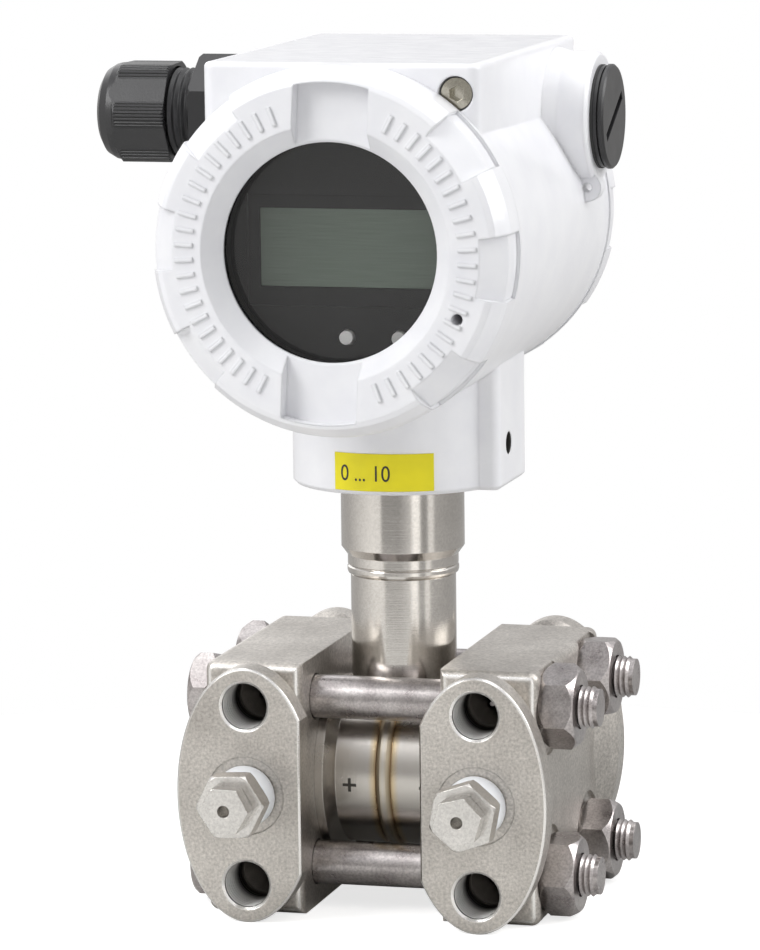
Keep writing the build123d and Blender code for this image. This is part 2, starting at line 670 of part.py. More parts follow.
def collar():
    """Collar round the neck, with a flat boss for its set screw."""
    top = AXIS_Z - 15
    ring = rod("Z", COLLAR_RADIUS, COLLAR_BOTTOM_Z, top)
    boss = box_between(0, COLLAR_BOSS_X, -COLLAR_BOSS_HALF_WIDTH, COLLAR_BOSS_HALF_WIDTH,
                       COLLAR_BOTTOM_Z, top)
    outer_edges = boss.edges().filter_by(Axis.Z).filter_by(lambda e: e.center().X > 1)
    boss = fillet(outer_edges, COLLAR_BOSS_ROUND)
    body = ring + boss
    low_edges = body.edges().filter_by(lambda e: abs(e.center().Z - COLLAR_BOTTOM_Z) < 0.01)
    return chamfer(low_edges, 0.8)


def housing():
    """Two-compartment casting: drum, square top, collar, conduit bosses and lug."""
    drum = turned("Y", [(0, DRUM_FRONT_Y), (DRUM_FRONT_RADIUS, DRUM_FRONT_Y),
                        (DRUM_REAR_RADIUS, DRUM_REAR_Y), (0, DRUM_REAR_Y)], 0, 0, AXIS_Z)
    block = box_between(-BLOCK_HALF_WIDTH, BLOCK_HALF_WIDTH, DRUM_FRONT_Y, DRUM_REAR_Y,
                        AXIS_Z, BLOCK_TOP_Z)
    upright = block.edges().filter_by(Axis.Z)
    block = fillet(upright, BLOCK_ROUND)
    top_edges = block.edges().filter_by(lambda e: e.center().Z > BLOCK_TOP_Z - 0.01)
    block = fillet(top_edges, 1.2)
    casting = drum + block + collar() + conduit_boss(-1) + conduit_boss(1) + seal_lug()
    bore = SKIRT_RADIUS + CURVED_GAP
    front_room = [(0, DRUM_FRONT_Y - 1), (bore + 1.8, DRUM_FRONT_Y - 1), (bore, DRUM_FRONT_Y + 0.8),
                  (bore, BULKHEAD_FRONT_Y), (0, BULKHEAD_FRONT_Y)]
    rear_room = [(0, DRUM_REAR_Y + 1), (bore + 1.8, DRUM_REAR_Y + 1), (bore, DRUM_REAR_Y - 0.8),
                 (bore, BULKHEAD_REAR_Y), (0, BULKHEAD_REAR_Y)]
    passage = rod("Z", PASSAGE_RADIUS, COLLAR_BOTTOM_Z, AXIS_Z - PASSAGE_TOP_DROP)
    cuts = [turned("Y", front_room, 0, 0, AXIS_Z), turned("Y", rear_room, 0, 0, AXIS_Z),
            passage & box_between(-PASSAGE_RADIUS, PASSAGE_RADIUS, -PASSAGE_RADIUS,
                                  BULKHEAD_FRONT_Y + FIT_GAP, COLLAR_BOTTOM_Z, AXIS_Z),
            rod("Y", 2.0, BULKHEAD_REAR_Y - 4, BULKHEAD_REAR_Y + 1, 0, EARTH_SCREW_Z),
            rod("Z", NECK_TOP_RADIUS + TURNING_GAP, COLLAR_BOTTOM_Z - 1, NECK_TOP_Z + 0.2),
            rod("X", SET_SCREW_RADIUS + FIT_GAP, 0, COLLAR_BOSS_X + 1, SET_SCREW_Y, NECK_LOCK_Z),
            rod("Y", LOCK_BORE_RADIUS, DRUM_FRONT_Y - 1, DRUM_FRONT_Y + LOCK_BORE_DEPTH,
                LOCK_SCREW_X, LOCK_SCREW_Z),
            rod("Y", LOCK_SHANK_RADIUS + FIT_GAP, DRUM_FRONT_Y,
                DRUM_FRONT_Y + LOCK_BORE_DEPTH + LOCK_SHANK_LENGTH + 1, LOCK_SCREW_X,
                LOCK_SCREW_Z),
            rod("Y", LUG_HOLE_RADIUS, LUG_Y - 1, LUG_Y + LUG_THICKNESS + 1, LUG_X, LUG_Z),
            plate_blank(FIT_GAP)]
    for cut in cuts + conduit_axis_cuts():
        casting -= cut
    return casting


def plate_blank(extra=0.0):
    """Plate on top of the casting, or its recess when made a little larger."""
    half = BLOCK_HALF_WIDTH - PLATE_MARGIN + extra
    plate = box_between(-half, half, DRUM_FRONT_Y + PLATE_MARGIN - extra,
                        DRUM_REAR_Y - PLATE_MARGIN + extra, BLOCK_TOP_Z - PLATE_THICKNESS,
                        BLOCK_TOP_Z + extra)
    return fillet(plate.edges().filter_by(Axis.Z), 1.5)


def socket_screw(axis, head_radius, head_height, shank_radius, start, length, u, v, inward):
    """Socket head screw; the head starts at start and the shank runs inward (+1 or -1)."""
    head_end = start + inward * head_height
    head = rod(axis, head_radius, start, head_end, u, v)
    shank = rod(axis, shank_radius, head_end, head_end + inward * length, u, v)
    outline = RegularPolygon(head_radius * 0.45, 6, major_radius=False)
    socket = extrude(axis_plane(axis, start, u, v) * outline, inward * head_height * 0.6)
    return head + shank - socket


def lock_screw():
    """Screw in the front face that locks the front cover."""
    start = DRUM_FRONT_Y + LOCK_HEAD_SET_BACK
    return socket_screw("Y", LOCK_HEAD_RADIUS, LOCK_BORE_DEPTH - LOCK_HEAD_SET_BACK,
                        LOCK_SHANK_RADIUS, start, LOCK_SHANK_LENGTH, LOCK_SCREW_X, LOCK_SCREW_Z, 1)


def collar_set_screw():
    """Headless set screw whose end stands in the groove of the neck."""
    tip_x = NECK_LOCK_RADIUS + SET_SCREW_TIP_GAP
    outer_x = COLLAR_BOSS_X - SET_SCREW_RECESS
    screw = rod("X", SET_SCREW_RADIUS, tip_x, outer_x, SET_SCREW_Y, NECK_LOCK_Z)
    outline = RegularPolygon(SET_SCREW_SOCKET_AF / 2, 6, major_radius=False)
    face = axis_plane("X", outer_x, SET_SCREW_Y, NECK_LOCK_Z)
    socket = extrude(face * outline, -SET_SCREW_SOCKET_DEPTH)
    return screw - socket


def range_label():
    """Label bent round the front of the collar."""
    inner = COLLAR_RADIUS + LABEL_LIFT
    sleeve = tube("Z", inner + LABEL_THICKNESS, inner, LABEL_BOTTOM_Z, LABEL_TOP_Z)
    middle = (LABEL_FROM + LABEL_TO) / 2
    half = radians((LABEL_TO - LABEL_FROM) / 2)
    reach = COLLAR_RADIUS * 2
    wedge = make_face(Polyline((0, 0), (-reach * sin(half), -reach * cos(half)),
                               (reach * sin(half), -reach * cos(half)), close=True))
    window = extrude(Pos(0, 0, LABEL_BOTTOM_Z - 1) * wedge, LABEL_TOP_Z - LABEL_BOTTOM_Z + 2)
    return sleeve & (Rot(0, 0, middle) * window)


# Covers

def cover_grips(shoulder_y, face_y, radius, crown_radius, lip_y):
    """Cutters that lower every second grip segment; shoulder and face may point either way."""
    ahead = 1 if face_y > shoulder_y else -1
    outline = [(crown_radius - CROWN_STEP, face_y + ahead), (crown_radius - CROWN_STEP, face_y),
               (radius - BAND_STEP, shoulder_y), (radius - BAND_STEP, lip_y),
               (radius + 5, lip_y), (radius + 5, face_y + ahead)]
    ring = turned("Y", outline, 0, 0, AXIS_Z)
    low_y = min(lip_y, face_y + ahead) - 1
    high_y = max(lip_y, face_y + ahead) + 1
    cutters = []
    for start in GRIP_STARTS:
        for half_turn in (0, 180):
            begin = start + half_turn
            slice_ = sector(radius * 1.6, begin, begin + GRIP_SPAN, low_y, high_y, AXIS_Z)
            cutters.append(ring & slice_)
    return cutters


def tool_slots(face_y, floor_y, inner):
    """Two radial slots for the cover key, at the top and the bottom."""
    slots = []
    low_y, high_y = min(face_y, floor_y), max(face_y, floor_y)
    for side in (-1, 1):
        z0, z1 = sorted((side * inner, side * TOOL_SLOT_RADIUS * 1.2))
        slot = box_between(-TOOL_SLOT_WIDTH / 2, TOOL_SLOT_WIDTH / 2, low_y, high_y,
                           AXIS_Z + z0, AXIS_Z + z1)
        slots.append(slot & rod("Y", TOOL_SLOT_RADIUS, low_y, high_y, 0, AXIS_Z))
    return slots


def cover_ticks():
    """Raised plain ticks round the crown, between the tool slots."""
    ticks = []
    first = -TICK_PITCH * (TICK_COUNT - 1) / 2
    for half_turn in (0, 180):
        for index in range(TICK_COUNT):
            tick = Box(TICK_LENGTH, TICK_HEIGHT + 0.5, TICK_WIDTH)
            place = Pos(TICK_RADIUS, CROWN_FRONT_Y - TICK_HEIGHT / 2 + 0.25, 0)
            angle = first + TICK_PITCH * index + half_turn
            ticks.append(Pos(0, 0, AXIS_Z) * Rot(0, -angle, 0) * place * tick)
    return ticks


def turned_cover(solid):
    """Turn a finished cover to the angle it was tightened to."""
    return Pos(0, 0, AXIS_Z) * Rot(0, -COVER_TURN, 0) * Pos(0, 0, -AXIS_Z) * solid


def front_cover():
    """Window cover: crown, grip segments, tool slots, glass pocket and threaded skirt."""
    pocket = GLASS_RADIUS + CURVED_GAP
    pocket_y = WINDOW_Y + 0.5
    pocket_end = pocket_y + WINDOW_GASKET_THICKNESS + GLASS_THICKNESS
    skirt_end = DRUM_FRONT_Y + SKIRT_LENGTH
    ring_floor = SKIRT_RADIUS - 1.0
    ring_y = DRUM_FRONT_Y + 1.4
    points = [(WINDOW_RADIUS, pocket_y), (WINDOW_RADIUS, WINDOW_Y),
              (BEVEL_OUTER_RADIUS, CROWN_FRONT_Y), (CROWN_RADIUS, CROWN_FRONT_Y),
              (CROWN_RADIUS + 1.2, CROWN_FRONT_Y + 0.6), (COVER_RADIUS - 0.5, SHOULDER_Y - 0.9),
              (COVER_RADIUS, SHOULDER_Y + 0.6), (COVER_RADIUS, DRUM_FRONT_Y),
              (SKIRT_RADIUS, DRUM_FRONT_Y), (SKIRT_RADIUS, ring_y), (ring_floor, ring_y),
              (ring_floor, ring_y + COVER_RING_WIDTH), (SKIRT_RADIUS, ring_y + COVER_RING_WIDTH),
              (SKIRT_RADIUS, skirt_end - 0.8), (SKIRT_RADIUS - 0.8, skirt_end),
              (SKIRT_INNER_RADIUS, skirt_end), (SKIRT_INNER_RADIUS, pocket_end),
              (pocket, pocket_end), (pocket, pocket_y)]
    cover = turned("Y", points, 0, 0, AXIS_Z)
    cover += cover_ticks()
    cuts = cover_grips(SHOULDER_Y, CROWN_FRONT_Y, COVER_RADIUS, CROWN_RADIUS,
                       DRUM_FRONT_Y - LIP_WIDTH)
    cuts += tool_slots(CROWN_FRONT_Y - 2, TOOL_SLOT_FLOOR_Y, WINDOW_RADIUS - 4)
    angle = radians(SEAL_HOLE_ANGLE)
    cuts.append(rod("Y", SEAL_HOLE_RADIUS, CROWN_FRONT_Y - 2, SHOULDER_Y + 3,
                    SEAL_HOLE_AT_RADIUS * cos(angle), AXIS_Z + SEAL_HOLE_AT_RADIUS * sin(angle)))
    for cut in cuts:
        cover -= cut
    return turned_cover(cover)


def rear_cover():
    """Blind cover of the terminal compartment."""
    skirt_end = DRUM_REAR_Y - SKIRT_LENGTH
    floor_y = REAR_COVER_END_Y - REAR_COVER_FLOOR
    ring_y = DRUM_REAR_Y - 1.4
    ring_floor = SKIRT_RADIUS - 1.0
    shoulder_y = REAR_COVER_END_Y - REAR_SHOULDER_DEPTH
    crown = REAR_COVER_RADIUS - REAR_CROWN_FALL
    dish_y = REAR_COVER_END_Y - REAR_DISH_DEPTH
    points = [(0, floor_y), (0, dish_y), (REAR_DISH_RADIUS, dish_y),
              (REAR_DISH_RADIUS + REAR_DISH_DEPTH, REAR_COVER_END_Y), (crown, REAR_COVER_END_Y),
              (REAR_COVER_RADIUS - 0.6, shoulder_y + 0.9), (REAR_COVER_RADIUS, shoulder_y - 0.6),
              (REAR_COVER_RADIUS, DRUM_REAR_Y), (SKIRT_RADIUS, DRUM_REAR_Y),
              (SKIRT_RADIUS, ring_y), (ring_floor, ring_y),
              (ring_floor, ring_y - COVER_RING_WIDTH), (SKIRT_RADIUS, ring_y - COVER_RING_WIDTH),
              (SKIRT_RADIUS, skirt_end + 0.8), (SKIRT_RADIUS - 0.8, skirt_end),
              (SKIRT_INNER_RADIUS, skirt_end), (SKIRT_INNER_RADIUS, floor_y)]
    cover = turned("Y", points, 0, 0, AXIS_Z)
    cuts = cover_grips(shoulder_y, REAR_COVER_END_Y, REAR_COVER_RADIUS, crown,
                       DRUM_REAR_Y + LIP_WIDTH)
    cuts += tool_slots(REAR_COVER_END_Y + 2, REAR_COVER_END_Y - REAR_SLOT_DEPTH,
                       REAR_SLOT_INNER)
    for cut in cuts:
        cover -= cut
    return turned_cover(cover)


def cover_ring(face_y, inward):
    """Sealing ring in the groove of a cover's skirt."""
    start = face_y + inward * 1.5
    end = start + inward * (COVER_RING_WIDTH - 0.2)
    low_y, high_y = sorted((start, end))
    return tube("Y", SKIRT_RADIUS + 0.2, SKIRT_RADIUS - 1.0 + TURNING_GAP, low_y, high_y,
                0, AXIS_Z)


def window_stack():
    """Window gasket, glass and retaining ring, in order from the front."""
    gasket_y = WINDOW_Y + 0.5
    glass_y = gasket_y + WINDOW_GASKET_THICKNESS
    ring_y = glass_y + GLASS_THICKNESS
    gasket = tube("Y", GLASS_RADIUS, WINDOW_RADIUS, gasket_y, glass_y, 0, AXIS_Z)
    glass = rod("Y", GLASS_RADIUS, glass_y, ring_y, 0, AXIS_Z)
    ring = tube("Y", SKIRT_INNER_RADIUS - FIT_GAP, WINDOW_RADIUS + 0.6, ring_y,
                ring_y + RETAINER_THICKNESS, 0, AXIS_Z)
    return {"window_gasket": gasket, "window_glass": glass, "window_retaining_ring": ring}


# Display

def display_fascia():
    """Round fascia with the display opening and the button holes."""
    rear_y = FASCIA_Y + FASCIA_THICKNESS
    disc = rod("Y", FASCIA_RADIUS, FASCIA_Y, rear_y, 0, AXIS_Z)
    opening = box_between(DISPLAY_X - DISPLAY_WIDTH / 2, DISPLAY_X + DISPLAY_WIDTH / 2,
                          FASCIA_Y - 1, rear_y + 1, DISPLAY_Z - DISPLAY_HEIGHT / 2,
                          DISPLAY_Z + DISPLAY_HEIGHT / 2)
    disc -= opening
    disc -= box_between(DISPLAY_X - DISPLAY_WIDTH / 2 - RECESS_SIDE,
                        DISPLAY_X + DISPLAY_WIDTH / 2 + RECESS_SIDE, FASCIA_Y - 1,
                        FASCIA_Y + RECESS_DEPTH, DISPLAY_Z - DISPLAY_HEIGHT / 2 - RECESS_BELOW,
                        DISPLAY_Z + DISPLAY_HEIGHT / 2 + RECESS_ABOVE)
    for x in BUTTON_XS:
        disc -= rod("Y", BUTTON_RADIUS + CURVED_GAP, FASCIA_Y - 1, rear_y + 1, x, BUTTON_Z)
    rim = tube("Y", FASCIA_RADIUS, FASCIA_RADIUS - 2, rear_y, BOARD_Y, 0, AXIS_Z)
    return disc + rim


def display_panel():
    """Liquid crystal panel: glass in the fascia opening and a wider body behind it."""
    rear_y = FASCIA_Y + FASCIA_THICKNESS
    half_w = DISPLAY_WIDTH / 2 - FIT_GAP
    half_h = DISPLAY_HEIGHT / 2 - FIT_GAP
    glass = box_between(DISPLAY_X - half_w, DISPLAY_X + half_w, FASCIA_Y + DISPLAY_SET_BACK, rear_y,
                        DISPLAY_Z - half_h, DISPLAY_Z + half_h)
    wide_w = half_w + DISPLAY_BORDER
    wide_h = half_h + DISPLAY_BORDER
    body = box_between(DISPLAY_X - wide_w, DISPLAY_X + wide_w, rear_y, BOARD_Y,
                       DISPLAY_Z - wide_h, DISPLAY_Z + wide_h)
    return glass + body


def display_board():
    """Circuit board behind the display, with a switch under each button."""
    board = rod("Y", BOARD_RADIUS, BOARD_Y, BOARD_Y + BOARD_THICKNESS, 0, AXIS_Z)
    flange_rear = FASCIA_Y + FASCIA_THICKNESS + BUTTON_FLANGE_THICKNESS
    switch_front = flange_rear + BUTTON_TRAVEL + FIT_GAP
    half = SWITCH_WIDTH / 2
    for x in BUTTON_XS:
        board += box_between(x - half, x + half, switch_front, BOARD_Y, BUTTON_Z - half,
                             BUTTON_Z + half)
    return board


def display_button(x):
    """Round push button, held behind the fascia by its flange."""
    rear_y = FASCIA_Y + FASCIA_THICKNESS
    flange_rear = rear_y + BUTTON_FLANGE_THICKNESS
    tip = FASCIA_Y - BUTTON_TRAVEL - BUTTON_PROUD
    stem = rod("Y", BUTTON_RADIUS, tip, flange_rear, x, BUTTON_Z)
    return stem + rod("Y", BUTTON_FLANGE_RADIUS, rear_y, flange_rear, x, BUTTON_Z)


def electronics_module():
    """Potted electronics can in the front compartment, with a recess for the connector."""
    can = turned("Y", [(0, MODULE_FRONT_Y), (MODULE_RADIUS - 1, MODULE_FRONT_Y),
                       (MODULE_RADIUS, MODULE_FRONT_Y + 1), (MODULE_RADIUS, MODULE_REAR_Y),
                       (0, MODULE_REAR_Y)], 0, 0, AXIS_Z)
    half = CONNECTOR_HEIGHT / 2
    return can - box_between(-CONNECTOR_HALF_WIDTH, CONNECTOR_HALF_WIDTH, MODULE_FRONT_Y - 1,
                             MODULE_FRONT_Y + CONNECTOR_DEPTH, CONNECTOR_Z - half,
                             CONNECTOR_Z + half)


def board_spacers():
    """Three posts between the display board and the electronics can."""
    posts = []
    for index in range(3):
        angle = radians(30 + 120 * index)
        x, z = SPACER_CIRCLE_RADIUS * cos(angle), SPACER_CIRCLE_RADIUS * sin(angle)
        posts.append(rod("Y", SPACER_RADIUS, BOARD_Y + BOARD_THICKNESS, MODULE_FRONT_Y, x,
                         AXIS_Z + z))
    return group(posts)


# Terminals

def terminal_block():
    """Moulded block on the bulkhead with a pocket and a wire slot for each terminal."""
    front = BULKHEAD_REAR_Y
    rear = front + TERMINAL_DEPTH
    block = box_between(-TERMINAL_WIDTH / 2, TERMINAL_WIDTH / 2, front, rear,
                        TERMINAL_BOTTOM_Z, TERMINAL_TOP_Z)
    block = chamfer(block.edges().filter_by(Axis.Y), 1.5)
    floor = rear - TERMINAL_POCKET_DEPTH
    half = WIRE_SLOT_WIDTH / 2
    for x in TERMINAL_XS:
        block -= rod("Y", TERMINAL_POCKET_RADIUS, floor, rear + 1, x, TERMINAL_SCREW_Z)
        block -= box_between(x - half, x + half, floor, rear + 1, TERMINAL_SCREW_Z,
                             TERMINAL_TOP_Z + 1)
        block -= rod("Y", TERMINAL_SHANK_RADIUS + FIT_GAP, rear - TERMINAL_TAP_DEPTH, rear, x,
                     TERMINAL_SCREW_Z)
    return block


def slotted_screw(radius, head_height, shank_radius, head_y, length, x, z):
    """Pan screw that faces the rear, with a straight slot; head_y is under the head."""
    head = rod("Y", radius, head_y, head_y + head_height, x, z)
    shank = rod("Y", shank_radius, head_y - length, head_y, x, z)
    half = SCREW_SLOT_WIDTH / 2
    slot = box_between(x - radius, x + radius, head_y + head_height * 0.45,
                       head_y + head_height + 1, z - half, z + half)
    return head + shank - slot


def terminal_screws():
    """Four terminal screws."""
    seat_y = BULKHEAD_REAR_Y + TERMINAL_DEPTH - TERMINAL_POCKET_DEPTH
    screws = [slotted_screw(SCREW_HEAD_RADIUS, SCREW_HEAD_HEIGHT, TERMINAL_SHANK_RADIUS, seat_y,
                            TERMINAL_SHANK_LENGTH, x, TERMINAL_SCREW_Z) for x in TERMINAL_XS]
    return group(screws)


def earth_screw():
    """Inner earth screw on the bulkhead."""
    return slotted_screw(SCREW_HEAD_RADIUS, SCREW_HEAD_HEIGHT, EARTH_SHANK_RADIUS,
                         BULKHEAD_REAR_Y, EARTH_SHANK_LENGTH, 0, EARTH_SCREW_Z)


# Cable gland and blanking plug

def entry_washer(side):
    """Sealing washer between a conduit boss and the fitting in it."""
    ring = tube("X", SEAL_WASHER_RADIUS, CONDUIT_THREAD_RADIUS + FIT_GAP, CONDUIT_BOSS_X,
                CONDUIT_BOSS_X + SEAL_WASHER_THICKNESS, CONDUIT_Y, CONDUIT_Z)
    return ring if side > 0 else mirror(ring, about=Plane.YZ)


def gland_start():
    """Distance of the gland's hexagon from the neck axis."""
    return CONDUIT_BOSS_X + SEAL_WASHER_THICKNESS


def gland_body():
    """Gland body: entry thread, hexagon, and the sleeve under the cap nut."""
    start = gland_start()
    hex_end = start + GLAND_HEX_LENGTH
    sleeve_end = hex_end + GLAND_THREAD_LENGTH + GLAND_CAP_LENGTH - GLAND_MOUTH_LENGTH
    hexagon = hex_bar("X", GLAND_HEX_AF, start, hex_end, CONDUIT_Y, CONDUIT_Z, GLAND_HEX_TURN)
    thread = rod("X", CONDUIT_THREAD_RADIUS, CONDUIT_BOSS_X - ENTRY_THREAD_LENGTH, start,
                 CONDUIT_Y, CONDUIT_Z)
    sleeve = threaded_rod("X", GLAND_THREAD_RADIUS, hex_end, sleeve_end, CONDUIT_Y, CONDUIT_Z,
                          GLAND_THREAD_PITCH)
    bore = rod("X", GLAND_BORE_RADIUS, CONDUIT_BOSS_X - ENTRY_THREAD_LENGTH - 1, sleeve_end + 1,
               CONDUIT_Y, CONDUIT_Z)
    return mirror(hexagon + thread + sleeve - bore, about=Plane.YZ)


def gland_cap_nut():
    """Cap nut: a hexagon with rounded corners that ends in a smooth dome."""
    start = gland_start() + GLAND_HEX_LENGTH + GLAND_THREAD_LENGTH
    end = start + GLAND_CAP_LENGTH
    dome_start = end - GLAND_DOME_LENGTH
    bore = GLAND_THREAD_RADIUS + CURVED_GAP
    blank = [(0, start), (GLAND_CAP_RADIUS - 0.4, start), (GLAND_CAP_RADIUS, start + 0.4),
             (GLAND_CAP_RADIUS, dome_start), (GLAND_DOME_RADIUS, dome_start + 0.7),
             (GLAND_DOME_RADIUS - 0.3, end - GLAND_DOME_FALL),
             (GLAND_DOME_RADIUS - 1.4, end - GLAND_DOME_FALL * 0.4),
             (GLAND_DOME_RADIUS - GLAND_DOME_FALL, end - 0.2), (GLAND_CABLE_RADIUS + 2.0, end), (0, end)]
    outline = RegularPolygon(GLAND_CAP_AF / 2, 6, major_radius=False, rotation=GLAND_CAP_TURN)
    hexagon = extrude(axis_plane("X", start, CONDUIT_Y, CONDUIT_Z) * outline, GLAND_CAP_LENGTH)
    room = [(0, start - 1), (bore, start - 1), (bore, end - 4.6),
            (GLAND_CABLE_RADIUS + 1.4, end - 3.0), (GLAND_CABLE_RADIUS + 0.6, end - 1.6),
            (GLAND_CABLE_RADIUS + 1.2, end + 1), (0, end + 1)]
    nut = turned("X", blank, 0, CONDUIT_Y, CONDUIT_Z) & hexagon
    return mirror(nut - turned("X", room, 0, CONDUIT_Y, CONDUIT_Z), about=Plane.YZ)


def gland_seal():
    """Rubber seal bush in the mouth of the gland body."""
    start = gland_start() + GLAND_HEX_LENGTH
    end = start + GLAND_THREAD_LENGTH + GLAND_CAP_LENGTH - GLAND_MOUTH_LENGTH - FIT_GAP
    bush = tube("X", GLAND_BORE_RADIUS - FIT_GAP, GLAND_CABLE_RADIUS, start, end, CONDUIT_Y, CONDUIT_Z)
    return mirror(bush, about=Plane.YZ)


def blanking_plug():
    """Round-headed plug with a straight slot in its face."""
    start = gland_start()
    end = start + PLUG_HEAD_THICKNESS
    groove_floor = PLUG_HEAD_RADIUS - PLUG_GROOVE_DEPTH - PLUG_EDGE
    points = [(0, CONDUIT_BOSS_X - ENTRY_THREAD_LENGTH),
              (CONDUIT_THREAD_RADIUS, CONDUIT_BOSS_X - ENTRY_THREAD_LENGTH),
              (CONDUIT_THREAD_RADIUS, start), (PLUG_HEAD_RADIUS - PLUG_EDGE, start),
              (PLUG_HEAD_RADIUS - PLUG_EDGE, start + 0.9), (groove_floor, start + 1.0),
              (groove_floor, start + 1.3),
              (PLUG_HEAD_RADIUS, start + 1.4), (PLUG_HEAD_RADIUS, end - 0.5),
              (PLUG_HEAD_RADIUS - 0.5, end), (0, end)]
    plug = turned("X", points, 0, CONDUIT_Y, CONDUIT_Z)
    slot_plane = axis_plane("X", end - PLUG_SLOT_DEPTH, CONDUIT_Y, CONDUIT_Z)
    slot = extrude(slot_plane * Rectangle(PLUG_SLOT_LENGTH, PLUG_SLOT_WIDTH, rotation=PLUG_SLOT_TURN),
                   PLUG_SLOT_DEPTH + 1)
    return plug - slot


def bolt_places():
    """The four clamp bolt positions as (Y, Z)."""
    return [(y, z) for y in (-BOLT_Y, BOLT_Y) for z in (-BOLT_Z, BOLT_Z)]


def sensor_pieces():
    """Pieces that stay with the flanges."""
    port_x = PORT_PITCH / 2
    low = low_flange()
    bolts = [clamp_bolt(y, z, turn) for (y, z), turn in zip(bolt_places(), HEAD_TURNS)]
    nuts = [clamp_nut(y, z, turn) for (y, z), turn in zip(bolt_places(), NUT_TURNS)]
    return {
        "flange_low": low,
        "flange_high": mirror(low, about=Plane.YZ),
        "clamp_bolts": group(bolts),
        "clamp_nuts": group(nuts),
        "capsule_body": capsule_body(),
        "capsule_weld": capsule_weld(),
        "diaphragm_high": diaphragm(-1),
        "diaphragm_low": diaphragm(1),
        "flange_gasket_high": flange_gasket(-1),
        "flange_gasket_low": flange_gasket(1),
        "sensor_module": sensor_module(),
        "neck_tube": neck_tube(),
        "neck_header": neck_header(),
        "neck_ring": neck_ring(),
        "vent_body_high": vent_body(-port_x, VENT_BODY_TURNS[0]),
        "vent_body_low": vent_body(port_x, VENT_BODY_TURNS[1]),
        "vent_screw_high": vent_screw(-port_x, VENT_SCREW_TURNS[0]),
        "vent_screw_low": vent_screw(port_x, VENT_SCREW_TURNS[1]),
        "thread_tape_high": thread_tape(-port_x),
        "thread_tape_low": thread_tape(port_x),
    }


def housing_pieces():
    """Pieces of the electronics housing."""
    pieces = {
        "housing": housing(),
        "collar_set_screw": collar_set_screw(),
        "range_label": range_label(),
        "top_plate": plate_blank(),
        "cover_lock_screw": lock_screw(),
        "front_cover": front_cover(),
        "front_cover_ring": cover_ring(DRUM_FRONT_Y, 1),
        "rear_cover": rear_cover(),
        "rear_cover_ring": cover_ring(DRUM_REAR_Y, -1),
        "display_fascia": display_fascia(),
        "display_panel": display_panel(),
        "display_board": display_board(),
        "button_left": display_button(BUTTON_XS[0]),
        "button_right": display_button(BUTTON_XS[1]),
        "electronics_module": electronics_module(),
        "board_spacers": board_spacers(),
        "ribbon_cable": ribbon_cable(),
        "terminal_block": terminal_block(),
        "terminal_screws": terminal_screws(),
        "earth_screw": earth_screw(),
        "plug_washer": entry_washer(1),
        "blanking_plug": blanking_plug(),
        "gland_washer": entry_washer(-1),
        "gland_body": gland_body(),
        "gland_cap_nut": gland_cap_nut(),
        "gland_seal": gland_seal(),
    }
    pieces.update(window_stack())
    return pieces


os.makedirs("parts", exist_ok=True)
for name, piece in {**sensor_pieces(), **housing_pieces()}.items():
    export_step(Pos(0, NECK_Y, 0) * piece, f"parts/{name}.step")
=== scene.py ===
import math

import bpy
from mathutils import Matrix, Vector


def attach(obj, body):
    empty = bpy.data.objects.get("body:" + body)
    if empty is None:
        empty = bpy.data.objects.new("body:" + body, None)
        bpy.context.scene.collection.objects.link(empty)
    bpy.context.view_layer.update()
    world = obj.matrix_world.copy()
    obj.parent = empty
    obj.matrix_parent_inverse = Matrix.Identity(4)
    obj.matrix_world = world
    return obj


# Metres, in the frame's own axes: +X to the low side, +Y to the manifold, +Z up.
MM = 0.001
NECK_Y = -40 * MM
FLOOR_Z = -29.5 * MM
BODY_MIDDLE = (0, NECK_Y, 70 * MM)
HOUSING_MIDDLE = (0, NECK_Y, 130 * MM)

# The photograph's view
CAMERA_AZIMUTH = 15.5
CAMERA_ELEVATION = 8.82
CAMERA_ROLL = -0.69
CAMERA_DISTANCE = 1.20135
CAMERA_TARGET = Vector((-0.00536, NECK_Y, 0.06837))
CAMERA_LENS_MM = 196.7

# Lamps: name, place, what it is aimed at, size, watts
LAMPS = (
    ("key_left", (-0.75, -0.75, 0.8), BODY_MIDDLE, (0.55, 0.7), 8.8),
    ("top_soft", (0.05, -0.05, 0.95), BODY_MIDDLE, (0.9, 0.9), 3.6),
    ("rim_right", (0.6, 0.12, 0.42), HOUSING_MIDDLE, (0.4, 0.4), 2.6),
    ("rear_left", (-0.6, 0.7, 0.5), BODY_MIDDLE, (0.6, 0.8), 1.8),
)

# What the metal mirrors near the horizon: (degrees to the right of the view, brightness)
STUDIO_BANDS = ((-180, 0.5), (-122, 0.62), (-98, 0.85), (-62, 1.25), (-43, 1.25), (-40, 0.48),
                (-8, 0.48), (0, 0.62), (14, 0.9), (18, 1.7), (30, 1.7), (34, 0.45), (45, 0.45),
                (49, 1.2), (57, 1.2), (62, 0.6), (110, 0.52), (180, 0.5))
STUDIO_PEAK = 1.7
STUDIO_TOP = 0.6
STUDIO_TOP_HEIGHTS = (0.2, 0.6)
ROOM_LIGHT = 0.6

# Floor: paler towards the camera, where the flanges mirror it
FLOOR_RADIUS = 0.30
FLOOR_SIDES = 64
FLOOR_CENTRE_Y = NECK_Y - 0.08
FLOOR_FRONT = (0.74, 0.735, 0.72, 1)
FLOOR_BACK = (0.36, 0.36, 0.355, 1)
FLOOR_FADE_YS = (-0.10, 0.03)
FLOOR_GLOW = 0.72

